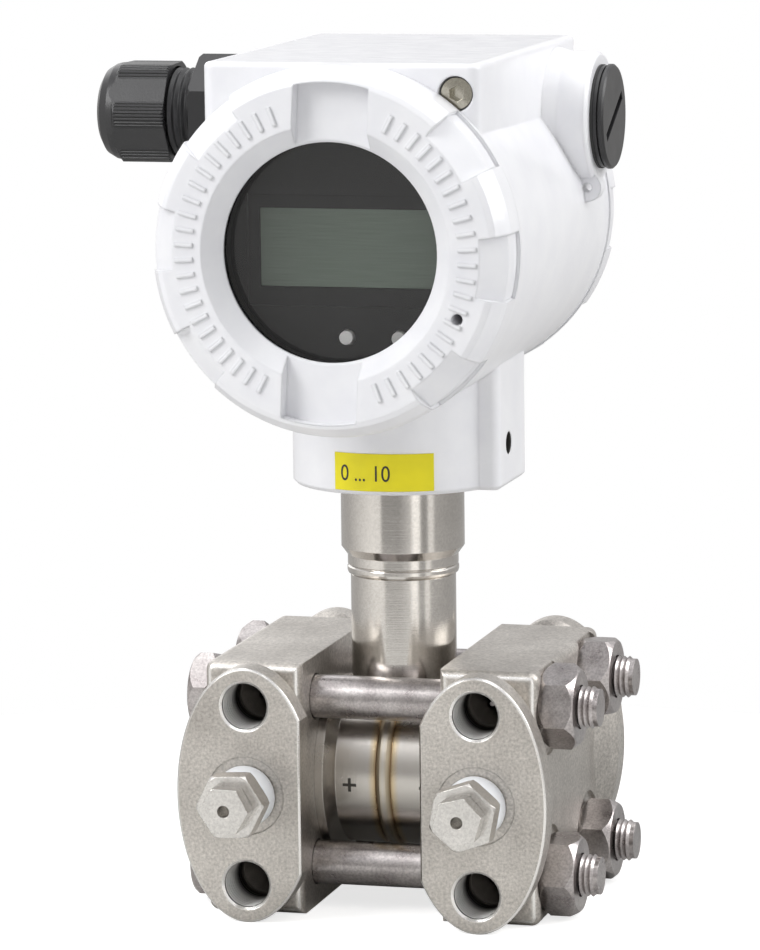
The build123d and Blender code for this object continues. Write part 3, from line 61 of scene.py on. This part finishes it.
# Screw bores of the painted casting, coloured near-black as painted shade: centre across the bore,
# radius, reach along it
LOCK_BORE = (26.3 * MM, 160.9 * MM)
LOCK_BORE_RADIUS = 4.05 * MM
LOCK_BORE_YS = (NECK_Y - 42.9 * MM, 0)
SET_BORE = (NECK_Y - 4 * MM, 77.4 * MM)
SET_BORE_RADIUS = 2.75 * MM
SET_BORE_XS = (15 * MM, 26.3 * MM)

# Tapped holes and polished rims of the process flanges; painted shade darkens the holes with depth
PORT_X = 27 * MM
HOLE_Z = 20.65 * MM
HOLE_MASK_RADIUS = 5.35 * MM
HOLE_WALL_RADIUS = 4.6 * MM
HOLE_SHADE_DEPTHS = (7 * MM, 11 * MM)
THREAD_PITCH = 1.27 * MM
RIM_DEPTH = 2.6 * MM
RIM_STEEP_LEAN = 0.8

# Capsule: weld bead and the heat tint beside it
WELD_X = -0.6 * MM
WELD_HALF_WIDTH = 2 * MM
TINT_REACH = (1.7 * MM, 4.5 * MM)
CAPSULE_RADIUS = 18 * MM

# Cap nut of the cable gland
GLAND_Y = -16 * MM
GLAND_Z = 150 * MM
GLAND_SIDES = 6
GLAND_RIBS = 96
GLAND_GRIP_START_XS = (-72.5 * MM, -72.1 * MM)
GLAND_GRIP_END_X = -60.4 * MM

# Numbers on the range label
COLLAR_RADIUS = 25.2 * MM
LABEL_START_DEGREES = -21.8
LABEL_MARGIN = 1.6 * MM
LABEL_SKIN = 0.22 * MM
LABEL_TEXT_Z = 70.9 * MM
LABEL_TEXT_SIZE = 5.2 * MM
LABEL_TEXT_WIDTH = 0.86

# Polarity marks on the capsule
MARK_SIZE = 3.2 * MM
MARK_STROKE = 0.7 * MM
MARK_SKIN = 0.03 * MM
MARK_TURN = -0.07
MARK_HIGH_X = -8.6 * MM
MARK_LOW_X = 9.6 * MM

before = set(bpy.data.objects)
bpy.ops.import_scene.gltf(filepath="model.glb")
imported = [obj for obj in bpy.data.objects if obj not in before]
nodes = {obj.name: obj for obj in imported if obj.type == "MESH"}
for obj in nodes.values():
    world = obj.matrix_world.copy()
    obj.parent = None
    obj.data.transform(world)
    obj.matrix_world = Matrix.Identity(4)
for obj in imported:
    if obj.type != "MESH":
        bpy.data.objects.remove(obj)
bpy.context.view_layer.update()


# Camera, lamps, world and floor

def view_axes(azimuth, elevation, roll):
    """Right, up and backward directions of a camera that looks at its target."""
    a, e, r = math.radians(azimuth), math.radians(elevation), math.radians(roll)
    back = Vector((math.sin(a) * math.cos(e), -math.cos(a) * math.cos(e), math.sin(e)))
    right = (-back).cross(Vector((0, 0, 1))).normalized()
    up = right.cross(-back)
    turned_right = right * math.cos(r) + up * math.sin(r)
    turned_up = up * math.cos(r) - right * math.sin(r)
    return turned_right, turned_up, back


def add_camera():
    right, up, back = view_axes(CAMERA_AZIMUTH, CAMERA_ELEVATION, CAMERA_ROLL)
    data = bpy.data.cameras.new("camera")
    data.lens = CAMERA_LENS_MM
    data.sensor_width = 36
    data.clip_start = 0.05
    data.clip_end = 50
    camera = bpy.data.objects.new("camera", data)
    place = CAMERA_TARGET + back * CAMERA_DISTANCE
    axes = Matrix((right, up, back)).transposed().to_4x4()
    camera.matrix_world = Matrix.Translation(place) @ axes
    bpy.context.collection.objects.link(camera)
    bpy.context.scene.camera = camera


def add_area_light(name, place, aim, size, power):
    data = bpy.data.lights.new(name, "AREA")
    data.shape = "RECTANGLE"
    data.size, data.size_y = size
    data.energy = power
    light = bpy.data.objects.new(name, data)
    light.location = place
    light.rotation_euler = (Vector(aim) - Vector(place)).to_track_quat("-Z", "Y").to_euler()
    bpy.context.collection.objects.link(light)


def add_node(tree, kind, **values):
    made = tree.nodes.new("ShaderNode" + kind)
    for key, value in values.items():
        setattr(made, key, value)
    return made


def add_world():
    """White behind the object; what lights it is a room of soft bands with a pale top."""
    world = bpy.data.worlds.new("studio")
    world.use_nodes = True
    bpy.context.scene.world = world
    tree = world.node_tree
    tree.nodes.clear()

    direction = add_node(tree, "TexCoord").outputs["Generated"]
    right, up, back = view_axes(CAMERA_AZIMUTH, 0, 0)
    sides = []
    for axis in (right, back):
        dot = add_node(tree, "VectorMath", operation="DOT_PRODUCT")
        tree.links.new(direction, dot.inputs[0])
        dot.inputs[1].default_value = axis
        sides.append(dot.outputs["Value"])
    around = add_node(tree, "Math", operation="ARCTAN2")
    tree.links.new(sides[0], around.inputs[0])
    tree.links.new(sides[1], around.inputs[1])
    place = add_node(tree, "Math", operation="MULTIPLY_ADD")
    tree.links.new(around.outputs[0], place.inputs[0])
    place.inputs[1].default_value = 0.5 / math.pi
    place.inputs[2].default_value = 0.5
    bands = add_node(tree, "ValToRGB")
    elements = bands.color_ramp.elements
    while len(elements) < len(STUDIO_BANDS):
        elements.new(0.5)
    for element, (degrees, level) in zip(elements, STUDIO_BANDS):
        element.position = degrees / 360 + 0.5
        grey = level / STUDIO_PEAK
        element.color = (grey, grey * 0.985, grey * 0.97, 1)
    tree.links.new(place.outputs[0], bands.inputs["Fac"])
    split = add_node(tree, "SeparateXYZ")
    tree.links.new(direction, split.inputs[0])
    height = add_node(tree, "MapRange")
    tree.links.new(split.outputs["Z"], height.inputs[0])
    height.inputs[1].default_value, height.inputs[2].default_value = STUDIO_TOP_HEIGHTS
    mix = add_node(tree, "Mix", data_type="RGBA")
    tree.links.new(height.outputs[0], mix.inputs[0])
    tree.links.new(bands.outputs["Color"], mix.inputs[6])
    mix.inputs[7].default_value = (STUDIO_TOP, STUDIO_TOP, STUDIO_TOP * 1.02, 1)
    studio = add_node(tree, "Background")
    studio.inputs["Strength"].default_value = STUDIO_PEAK
    tree.links.new(mix.outputs[2], studio.inputs["Color"])
    white = add_node(tree, "Background")
    white.inputs["Color"].default_value = (1, 1, 1, 1)
    room = add_node(tree, "Background")
    room.inputs["Color"].default_value = (0.97, 0.98, 1, 1)
    room.inputs["Strength"].default_value = ROOM_LIGHT
    path = add_node(tree, "LightPath")
    shader = studio.outputs[0]
    for ray, light in (("Is Diffuse Ray", room), ("Is Camera Ray", white)):
        choose = add_node(tree, "MixShader")
        tree.links.new(path.outputs[ray], choose.inputs["Fac"])
        tree.links.new(shader, choose.inputs[1])
        tree.links.new(light.outputs[0], choose.inputs[2])
        shader = choose.outputs[0]
    tree.links.new(shader, add_node(tree, "OutputWorld").inputs["Surface"])


def add_floor():
    """Pale disc, lifted to white for the camera but for the object's soft shadow."""
    mesh = bpy.data.meshes.new("floor")
    rim = [(FLOOR_RADIUS * math.cos(2 * math.pi * k / FLOOR_SIDES),
            FLOOR_CENTRE_Y + FLOOR_RADIUS * math.sin(2 * math.pi * k / FLOOR_SIDES), FLOOR_Z)
           for k in range(FLOOR_SIDES)]
    mesh.from_pydata(rim, [], [tuple(range(FLOOR_SIDES))])
    floor = bpy.data.objects.new("floor", mesh)
    bpy.context.collection.objects.link(floor)
    paint = bpy.data.materials.new("floor_white")
    paint.use_nodes = True
    tree = paint.node_tree
    tree.nodes.clear()
    out = add_node(tree, "OutputMaterial")
    glow = add_node(tree, "Emission")
    path = add_node(tree, "LightPath")
    matte = add_node(tree, "BsdfDiffuse")
    both = add_node(tree, "AddShader")
    level = add_node(tree, "Math", operation="MULTIPLY")
    level.inputs[1].default_value = FLOOR_GLOW
    place = add_node(tree, "TexCoord")
    split = add_node(tree, "SeparateXYZ")
    fade = add_node(tree, "MapRange")
    tone = add_node(tree, "Mix", data_type="RGBA")
    fade.inputs[1].default_value, fade.inputs[2].default_value = FLOOR_FADE_YS
    tone.inputs[6].default_value = FLOOR_FRONT
    tone.inputs[7].default_value = FLOOR_BACK
    tree.links.new(place.outputs["Object"], split.inputs[0])
    tree.links.new(split.outputs["Y"], fade.inputs[0])
    tree.links.new(fade.outputs[0], tone.inputs[0])
    tree.links.new(tone.outputs[2], matte.inputs["Color"])
    tree.links.new(path.outputs["Is Camera Ray"], level.inputs[0])
    tree.links.new(level.outputs[0], glow.inputs["Strength"])
    tree.links.new(matte.outputs[0], both.inputs[0])
    tree.links.new(glow.outputs[0], both.inputs[1])
    tree.links.new(both.outputs[0], out.inputs["Surface"])
    mesh.materials.append(paint)


# Materials

class Surface:
    """One Principled material, with helpers for its textures and its bump."""

    def __init__(self, name, color, metallic=0.0, roughness=0.4, edge=0.25 * MM, **sockets):
        self.material = bpy.data.materials.new(name)
        self.material.use_nodes = True
        self.tree = self.material.node_tree
        self.shader = self.tree.nodes["Principled BSDF"]
        self.shader.inputs["Base Color"].default_value = (*color, 1)
        self.shader.inputs["Metallic"].default_value = metallic
        self.shader.inputs["Roughness"].default_value = roughness
        for socket, value in sockets.items():
            self.shader.inputs[socket.replace("_", " ")].default_value = value
        self.normal = None
        if edge:
            bevel = self.node("Bevel")
            bevel.samples = 4
            bevel.inputs["Radius"].default_value = edge
            self.set_normal(bevel.outputs["Normal"])

    def node(self, kind, **values):
        return add_node(self.tree, kind, **values)

    def link(self, source, target):
        self.tree.links.new(source, target)

    def set_normal(self, output):
        self.normal = output
        self.link(output, self.shader.inputs["Normal"])

    def coords(self, scale=(1, 1, 1), offset=(0, 0, 0)):
        """Places in the frame's metres, moved by offset and then stretched by scale."""
        source = self.node("TexCoord")
        mapping = self.node("Mapping")
        mapping.inputs["Location"].default_value = [o * s for o, s in zip(offset, scale)]
        mapping.inputs["Scale"].default_value = scale
        self.link(source.outputs["Object"], mapping.inputs["Vector"])
        return mapping.outputs["Vector"]

    def axes(self, offset=(0, 0, 0)):
        """The same places, split into their X, Y and Z."""
        split = self.node("SeparateXYZ")
        self.link(self.coords(offset=offset), split.inputs[0])
        return split.outputs

    def noise(self, per_metre, detail=3.0, roughness=0.55, scale=(1, 1, 1)):
        texture = self.node("TexNoise")
        texture.inputs["Scale"].default_value = per_metre
        texture.inputs["Detail"].default_value = detail
        texture.inputs["Roughness"].default_value = roughness
        self.link(self.coords(scale), texture.inputs["Vector"])
        return texture.outputs["Fac"]

    def math(self, operation, first, second=None):
        step = self.node("Math", operation=operation)
        for socket, value in zip(step.inputs, (first, second)):
            if isinstance(value, (int, float)):
                socket.default_value = value
            elif value is not None:
                self.link(value, socket)
        return step.outputs[0]

    def ramp(self, factor, *stops):
        """Colour ramp; each stop is (position, colour)."""
        ramp = self.node("ValToRGB")
        elements = ramp.color_ramp.elements
        while len(elements) < len(stops):
            elements.new(0.5)
        for element, (position, color) in zip(elements, stops):
            element.position = position
            element.color = (*color, 1)
        self.link(factor, ramp.inputs["Fac"])
        return ramp.outputs["Color"]

    def map_range(self, value, low, high, new_low, new_high):
        node = self.node("MapRange")
        for index, number in enumerate((low, high, new_low, new_high)):
            node.inputs[index + 1].default_value = number
        self.link(value, node.inputs[0])
        return node.outputs[0]

    def mix_color(self, factor, first, second):
        return self.blend_color("MIX", factor, first, second)

    def blend_color(self, kind, factor, first, second):
        node = self.node("Mix", data_type="RGBA", blend_type=kind)
        for socket, value in ((node.inputs[0], factor), (node.inputs[6], first),
                              (node.inputs[7], second)):
            if isinstance(value, tuple):
                socket.default_value = (*value, 1)
            elif isinstance(value, (int, float)):
                socket.default_value = value
            else:
                self.link(value, socket)
        return node.outputs[2]

    def color_from(self, output):
        self.link(output, self.shader.inputs["Base Color"])

    def roughness_from(self, factor, low, high):
        self.link(self.map_range(factor, 0, 1, low, high), self.shader.inputs["Roughness"])

    def bump(self, height, depth, strength=1.0):
        bump = self.node("Bump")
        bump.inputs["Distance"].default_value = depth
        bump.inputs["Strength"].default_value = strength
        self.link(height, bump.inputs["Height"])
        if self.normal is not None:
            self.link(self.normal, bump.inputs["Normal"])
        self.set_normal(bump.outputs["Normal"])


def inside_bore(surface, across, centre, radius, along, reach):
    """One inside a round bore: within radius of its centre and between two places along it."""
    places = surface.axes()
    squared = None
    for axis, place in zip(across, centre):
        off = surface.math("SUBTRACT", places[axis], place)
        square = surface.math("MULTIPLY", off, off)
        squared = square if squared is None else surface.math("ADD", squared, square)
    inside = surface.math("LESS_THAN", squared, radius * radius)
    after = surface.math("GREATER_THAN", places[along], reach[0])
    before = surface.math("LESS_THAN", places[along], reach[1])
    return surface.math("MULTIPLY", inside, surface.math("MULTIPLY", after, before))


def white_coat():
    """Smooth white powder coat with a faint orange peel; the screw bores are coloured near-black as
    painted shade.
    """
    surface = Surface("white_coat", (0.80, 0.80, 0.83), roughness=0.3, edge=0.8 * MM,
                      Coat_Weight=0.3, Coat_Roughness=0.15)
    surface.bump(surface.noise(900, 2), 0.06 * MM, 0.35)
    cast = surface.noise(120, 3)
    surface.roughness_from(cast, 0.26, 0.4)
    coat = surface.ramp(cast, (0.3, (0.77, 0.77, 0.795)), (0.7, (0.815, 0.815, 0.83)))
    lock = inside_bore(surface, "XZ", LOCK_BORE, LOCK_BORE_RADIUS, "Y", LOCK_BORE_YS)
    collar = inside_bore(surface, "YZ", SET_BORE, SET_BORE_RADIUS, "X", SET_BORE_XS)
    # Painted shade: both screw bores are coloured near-black for the shade deep inside them.
    bore_shade = surface.math("MAXIMUM", lock, collar)
    surface.color_from(surface.mix_color(bore_shade, coat, (0.035, 0.033, 0.03)))
    return surface.material


def hole_places(surface):
    """Distance from the nearest bolt hole axis, and depth below the nearest process face."""
    places = surface.axes()
    x_off = surface.math("SUBTRACT", surface.math("ABSOLUTE", places["X"]), PORT_X)
    z_off = surface.math("SUBTRACT", surface.math("ABSOLUTE", places["Z"]), HOLE_Z)
    squared = surface.math("ADD", surface.math("MULTIPLY", x_off, x_off),
                           surface.math("MULTIPLY", z_off, z_off))
    from_middle = surface.math("ABSOLUTE", surface.math("SUBTRACT", places["Y"], NECK_Y))
    return surface.math("SQRT", squared), surface.math("SUBTRACT", -NECK_Y, from_middle)


def cast_stainless():
    """Bead-blasted casting: mottled tone, fine grain, polished rims, and tapped holes darkened with
    depth as painted shade.
    """
    surface = Surface("cast_stainless", (0.56, 0.53, 0.49), 1.0, 0.4, edge=0.45 * MM)
    tone = surface.noise(38, 5, 0.65)
    cast = surface.ramp(tone, (0.28, (0.40, 0.375, 0.345)), (0.72, (0.62, 0.59, 0.55)))
    grain = surface.noise(1500, 2, 0.7)
    speck = surface.ramp(grain, (0.3, (0.74, 0.74, 0.74)), (0.7, (1.2, 1.2, 1.2)))
    cast = surface.blend_color("MULTIPLY", 1.0, cast, speck)
    facing = surface.node("SeparateXYZ")
    surface.link(surface.node("NewGeometry").outputs["Normal"], facing.inputs[0])
    lean = surface.math("ABSOLUTE", facing.outputs["Y"])
    rim = surface.math("MULTIPLY", surface.map_range(lean, 0.12, 0.4, 0, 1),
                       surface.map_range(lean, 0.985, 0.9, 0, 1))
    away, depth = hole_places(surface)
    outer = surface.math("LESS_THAN", depth, RIM_DEPTH)
    steep = surface.math("GREATER_THAN", lean, RIM_STEEP_LEAN)
    rim = surface.math("MULTIPLY", rim, surface.math("MAXIMUM", outer, steep))
    cast = surface.mix_color(rim, cast, (0.74, 0.725, 0.70))
    inside = surface.math("LESS_THAN", away, HOLE_MASK_RADIUS)
    cast = surface.mix_color(inside, cast, (0.86, 0.85, 0.83))
    # Painted shade: the tapped holes go near-black between the two shade depths.
    hole_shade = surface.math("MULTIPLY", inside, surface.map_range(depth, *HOLE_SHADE_DEPTHS, 0, 1))
    cast = surface.mix_color(hole_shade, cast, (0.03, 0.027, 0.024))
    surface.color_from(cast)
    rough = surface.map_range(surface.noise(300, 3), 0, 1, 0.34, 0.52)
    finish = surface.node("Mix")
    for socket, source in ((0, rim), (2, rough)):
        surface.link(source, finish.inputs[socket])
    finish.inputs[3].default_value = 0.2
    surface.link(finish.outputs[0], surface.shader.inputs["Roughness"])
    surface.bump(surface.noise(2600, 2), 0.05 * MM, 0.4)
    surface.bump(surface.noise(240, 4), 0.15 * MM, 0.3)
    wall = surface.math("MULTIPLY", inside, surface.math("GREATER_THAN", away, HOLE_WALL_RADIUS))
    turns = surface.math("SINE", surface.math("MULTIPLY", depth, 2 * math.pi / THREAD_PITCH))
    surface.bump(surface.math("MULTIPLY", turns, wall), 0.22 * MM, 1.0)
    return surface.material


def turned_steel(name, axis, color=(0.60, 0.575, 0.54), low=0.16, high=0.3, speckle=0.11):
    """Turned stainless steel with fine rings about the given axis (0, 1 or 2)."""
    surface = Surface(name, color, 1.0, (low + high) / 2, edge=0.25 * MM)
    stretch = [40, 40, 40]
    stretch[axis] = 6000
    rings = surface.noise(1.0, 2, 0.5, tuple(stretch))
    surface.bump(rings, 0.02 * MM, 0.5)
    cloud = surface.noise(70, 3)
    surface.roughness_from(cloud, low, high)
    dark = tuple(c * 0.85 for c in color)
    steel = surface.ramp(cloud, (0.3, dark), (0.7, color))
    fleck = surface.ramp(surface.noise(1600, 2, 0.7), (0.35, (1 - speckle,) * 3),
                         (0.65, (1 + speckle,) * 3))
    surface.color_from(surface.blend_color("MULTIPLY", 1.0, steel, fleck))
    return surface.material


def bolt_steel():
    surface = Surface("bolt_steel", (0.46, 0.44, 0.43), 1.0, 0.27, edge=0.12 * MM)
    stain = surface.noise(160, 4)
    steel = surface.ramp(stain, (0.3, (0.34, 0.31, 0.305)), (0.7, (0.52, 0.49, 0.48)))
    fleck = surface.ramp(surface.noise(1800, 2, 0.7), (0.35, (0.8,) * 3), (0.65, (1.15,) * 3))
    surface.color_from(surface.blend_color("MULTIPLY", 1.0, steel, fleck))
    surface.roughness_from(stain, 0.22, 0.36)
    surface.bump(surface.noise(1.0, 2, 0.5, (2500, 120, 120)), 0.02 * MM, 0.4)
    return surface.material


def weld_steel():
    """Weld bead: bright crest, golden and brown heat tint at its two edges."""
    surface = Surface("weld_steel", (0.5, 0.45, 0.38), 1.0, 0.35, edge=0.2 * MM)
    from_bead = surface.math("ABSOLUTE", surface.axes((-WELD_X, 0, 0))["X"])
    away = surface.map_range(from_bead, 0, WELD_HALF_WIDTH, 0, 1)
    surface.color_from(surface.ramp(away, (0.0, (0.56, 0.53, 0.48)), (0.55, (0.52, 0.45, 0.33)),
                                    (0.85, (0.26, 0.17, 0.09))))
    surface.bump(surface.noise(500, 2), 0.15 * MM, 0.5)
    return surface.material


def capsule_steel():
    """Turned steel with the heat tint that the weld leaves beside it."""
    surface = Surface("capsule_steel", (0.58, 0.55, 0.5), 1.0, 0.25, edge=0.25 * MM)
    from_bead = surface.math("ABSOLUTE", surface.axes((-WELD_X, 0, 0))["X"])
    away = surface.map_range(from_bead, *TINT_REACH, 0, 1)
    tint = surface.ramp(away, (0.0, (0.30, 0.2, 0.1)), (0.25, (0.55, 0.45, 0.3)),
                        (0.7, (0.52, 0.495, 0.46)))
    surface.color_from(tint)
    surface.bump(surface.noise(1.0, 2, 0.5, (6000, 40, 40)), 0.02 * MM, 0.5)
    surface.roughness_from(surface.noise(90, 3), 0.2, 0.32)
    return surface.material


def white_tape():
    surface = Surface("white_tape", (0.86, 0.86, 0.87), roughness=0.55, edge=0,
                      Subsurface_Weight=0.1)
    surface.bump(surface.noise(1.0, 3, 0.6, (300, 1600, 300)), 0.2 * MM, 0.5)
    return surface.material


def plain(name, color, roughness, grain=0.0, per_metre=1500, **sockets):
    """Moulded plastic, rubber or the like, with a slight tone change and a fine grain."""
    surface = Surface(name, color, roughness=roughness, **sockets)
    tone = surface.noise(80, 3)
    darker = tuple(c * 0.82 for c in color)
    surface.color_from(surface.ramp(tone, (0.3, darker), (0.7, color)))
    surface.roughness_from(tone, max(roughness - 0.06, 0.02), roughness + 0.06)
    if grain:
        surface.bump(surface.noise(per_metre, 2), grain, 0.5)
    return surface.material


def gland_plastic():
    """Black polyamide with fine grip ribs at the corners of the cap nut's hexagon."""
    surface = Surface("gland_plastic", (0.016, 0.016, 0.017), roughness=0.34)
    surface.roughness_from(surface.noise(150, 3), 0.28, 0.42)
    surface.bump(surface.noise(1800, 2), 0.04 * MM, 0.5)
    places = surface.axes((0, -GLAND_Y, -GLAND_Z))
    angle = surface.math("ARCTAN2", places["Z"], places["Y"])
    corner = surface.math("COSINE", surface.math("MULTIPLY", angle, GLAND_SIDES))
    near_corner = surface.map_range(corner, -0.1, 0.3, 0, 1)
    from_x = surface.map_range(places["X"], *GLAND_GRIP_START_XS, 0, 1)
    to_x = surface.math("LESS_THAN", places["X"], GLAND_GRIP_END_X)
    grip = surface.math("MULTIPLY", near_corner, surface.math("MULTIPLY", from_x, to_x))
    ribs = surface.math("SINE", surface.math("MULTIPLY", angle, GLAND_RIBS))
    surface.bump(surface.math("MULTIPLY", ribs, grip), 0.3 * MM, 0.9)
    return surface.material


def window_glass():
    surface = Surface("window_glass", (1, 1, 1), roughness=0.0, edge=0, IOR=1.5,
                      Transmission_Weight=1.0)
    smear = surface.noise(60, 3)
    surface.roughness_from(smear, 0.0, 0.03)
    return surface.material


def display_face():
    """Blank liquid crystal panel with its faint row lines."""
    surface = Surface("display_face", (0.30, 0.33, 0.28), roughness=0.25, edge=0)
    lines = surface.noise(1.0, 1, 0.4, (100, 1, 4000))
    surface.color_from(surface.ramp(lines, (0.3, (0.125, 0.165, 0.13)), (0.7, (0.15, 0.19, 0.155))))
    return surface.material


def grey_plate():
    surface = Surface("plate_grey", (0.75, 0.75, 0.76), 0.3, 0.45, edge=0.2 * MM)
    fleck = surface.noise(1.0, 4, 0.7, (160, 1400, 160))
    surface.color_from(surface.ramp(fleck, (0.35, (0.5, 0.5, 0.52)), (0.65, (0.68, 0.68, 0.69))))
    surface.bump(surface.noise(1500, 3), 0.08 * MM, 0.4)
    return surface.material


def circuit_board():
    surface = Surface("circuit_board", (0.02, 0.10, 0.05), roughness=0.35)
    tracks = surface.noise(260, 1, 0.3)
    surface.color_from(surface.ramp(tracks, (0.49, (0.02, 0.09, 0.045)),
                                    (0.52, (0.04, 0.16, 0.08))))
    return surface.material


def dress(material, *names):
    """Give one material to several nodes of the frame."""
    for name in names:
        mesh = nodes[name].data
        mesh.materials.clear()
        mesh.materials.append(material)


def dress_all():
    dress(white_coat(), "housing", "front_cover", "rear_cover")
    dress(cast_stainless(), "flange_low", "flange_high")
    dress(turned_steel("neck_steel", 2, (0.60, 0.575, 0.54), 0.11, 0.18, 0.05), "neck_tube",
          "sensor_module", "neck_header")
    dress(turned_steel("valve_steel", 1, (0.66, 0.64, 0.61), 0.2, 0.3), "vent_body_high",
          "vent_body_low", "vent_screw_high", "vent_screw_low")
    dress(turned_steel("diaphragm_steel", 0), "diaphragm_high", "diaphragm_low")
    dress(capsule_steel(), "capsule_body")
    dress(weld_steel(), "capsule_weld")
    dress(bolt_steel(), "clamp_bolts", "clamp_nuts", "terminal_screws", "earth_screw",
          "collar_set_screw")
    dress(turned_steel("lock_screw_steel", 1, (0.5, 0.475, 0.4), 0.14, 0.22), "cover_lock_screw")
    dress(white_tape(), "thread_tape_high", "thread_tape_low")
    dress(gland_plastic(), "gland_body", "gland_cap_nut", "blanking_plug")
    dress(plain("black_plastic", (0.007, 0.0075, 0.008), 0.5, 0.05 * MM,
                Specular_IOR_Level=0.25),
          "display_fascia", "electronics_module", "board_spacers", "window_retaining_ring")
    dress(plain("black_rubber", (0.025, 0.025, 0.025), 0.6, 0.05 * MM), "neck_ring",
          "front_cover_ring", "rear_cover_ring", "gland_seal", "plug_washer", "gland_washer",
          "window_gasket", "flange_gasket_high", "flange_gasket_low")
    dress(window_glass(), "window_glass")
    dress(display_face(), "display_panel")
    dress(plain("button_grey", (0.93, 0.93, 0.91), 0.35), "button_left", "button_right")
    dress(circuit_board(), "display_board")
    dress(plain("label_yellow", (0.82, 0.72, 0.008), 0.6), "range_label")
    dress(grey_plate(), "top_plate")
    dress(plain("terminal_green", (0.03, 0.14, 0.06), 0.45, 0.03 * MM), "terminal_block")
    dress(plain("ribbon_grey", (0.35, 0.35, 0.36), 0.5), "ribbon_cable")


# Small printed and stamped pieces

def make_piece(name, points, faces, material, body):
    mesh = bpy.data.meshes.new(name)
    mesh.from_pydata(points, [], faces)
    mesh.materials.append(material)
    piece = bpy.data.objects.new(name, mesh)
    bpy.context.collection.objects.link(piece)
    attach(piece, body)


def flat_text(body, size):
    """Outline of a line of characters as (points, faces) in its own plane."""
    curve = bpy.data.curves.new("characters", "FONT")
    curve.body = body
    curve.size = size
    holder = bpy.data.objects.new("characters", curve)
    bpy.context.collection.objects.link(holder)
    bpy.context.view_layer.update()
    mesh = bpy.data.meshes.new_from_object(holder)
    points = [tuple(vertex.co) for vertex in mesh.vertices]
    faces = [tuple(face.vertices) for face in mesh.polygons]
    bpy.data.objects.remove(holder)
    bpy.data.curves.remove(curve)
    bpy.data.meshes.remove(mesh)
    return points, faces


def label_numbers():
    """Range numbers, printed on the label and bent round the collar with it."""
    points, faces = flat_text("0 ... 10", LABEL_TEXT_SIZE)
    radius = COLLAR_RADIUS + LABEL_SKIN
    start = math.radians(LABEL_START_DEGREES) + LABEL_MARGIN / radius
    bent = []
    for u, v, _ in points:
        angle = start + u * LABEL_TEXT_WIDTH / radius
        bent.append((radius * math.sin(angle), NECK_Y - radius * math.cos(angle),
                     LABEL_TEXT_Z + v))
    ink = plain("label_ink", (0.02, 0.02, 0.018), 0.5, edge=0)
    make_piece("label_numbers", bent, faces, ink, "housing")


def polarity_mark(name, x, bars, ink):
    """Stamped sign on the front of the capsule; bars are (width, height)."""
    radius = CAPSULE_RADIUS + MARK_SKIN
    points, faces = [], []
    for width, height in bars:
        base = len(points)
        for step in range(3):
            rise = MARK_TURN + height * (step / 2 - 0.5) / radius
            for side in (-0.5, 0.5):
                points.append((x + side * width, NECK_Y - radius * math.cos(rise),
                               radius * math.sin(rise)))
        faces += [(base, base + 1, base + 3, base + 2), (base + 2, base + 3, base + 5, base + 4)]
    make_piece(name, points, faces, ink, "sensor")


def polarity_marks():
    ink = plain("stamped_steel", (0.10, 0.095, 0.085), 0.6, edge=0, Metallic=1.0)
    across, upright = (MARK_SIZE, MARK_STROKE), (MARK_STROKE, MARK_SIZE)
    polarity_mark("mark_high", MARK_HIGH_X, (across, upright), ink)
    polarity_mark("mark_low", MARK_LOW_X, (across,), ink)


add_camera()
for lamp in LAMPS:
    add_area_light(*lamp)
add_world()
add_floor()
dress_all()
label_numbers()
polarity_marks()
bpy.context.scene.view_settings.view_transform = "Standard"
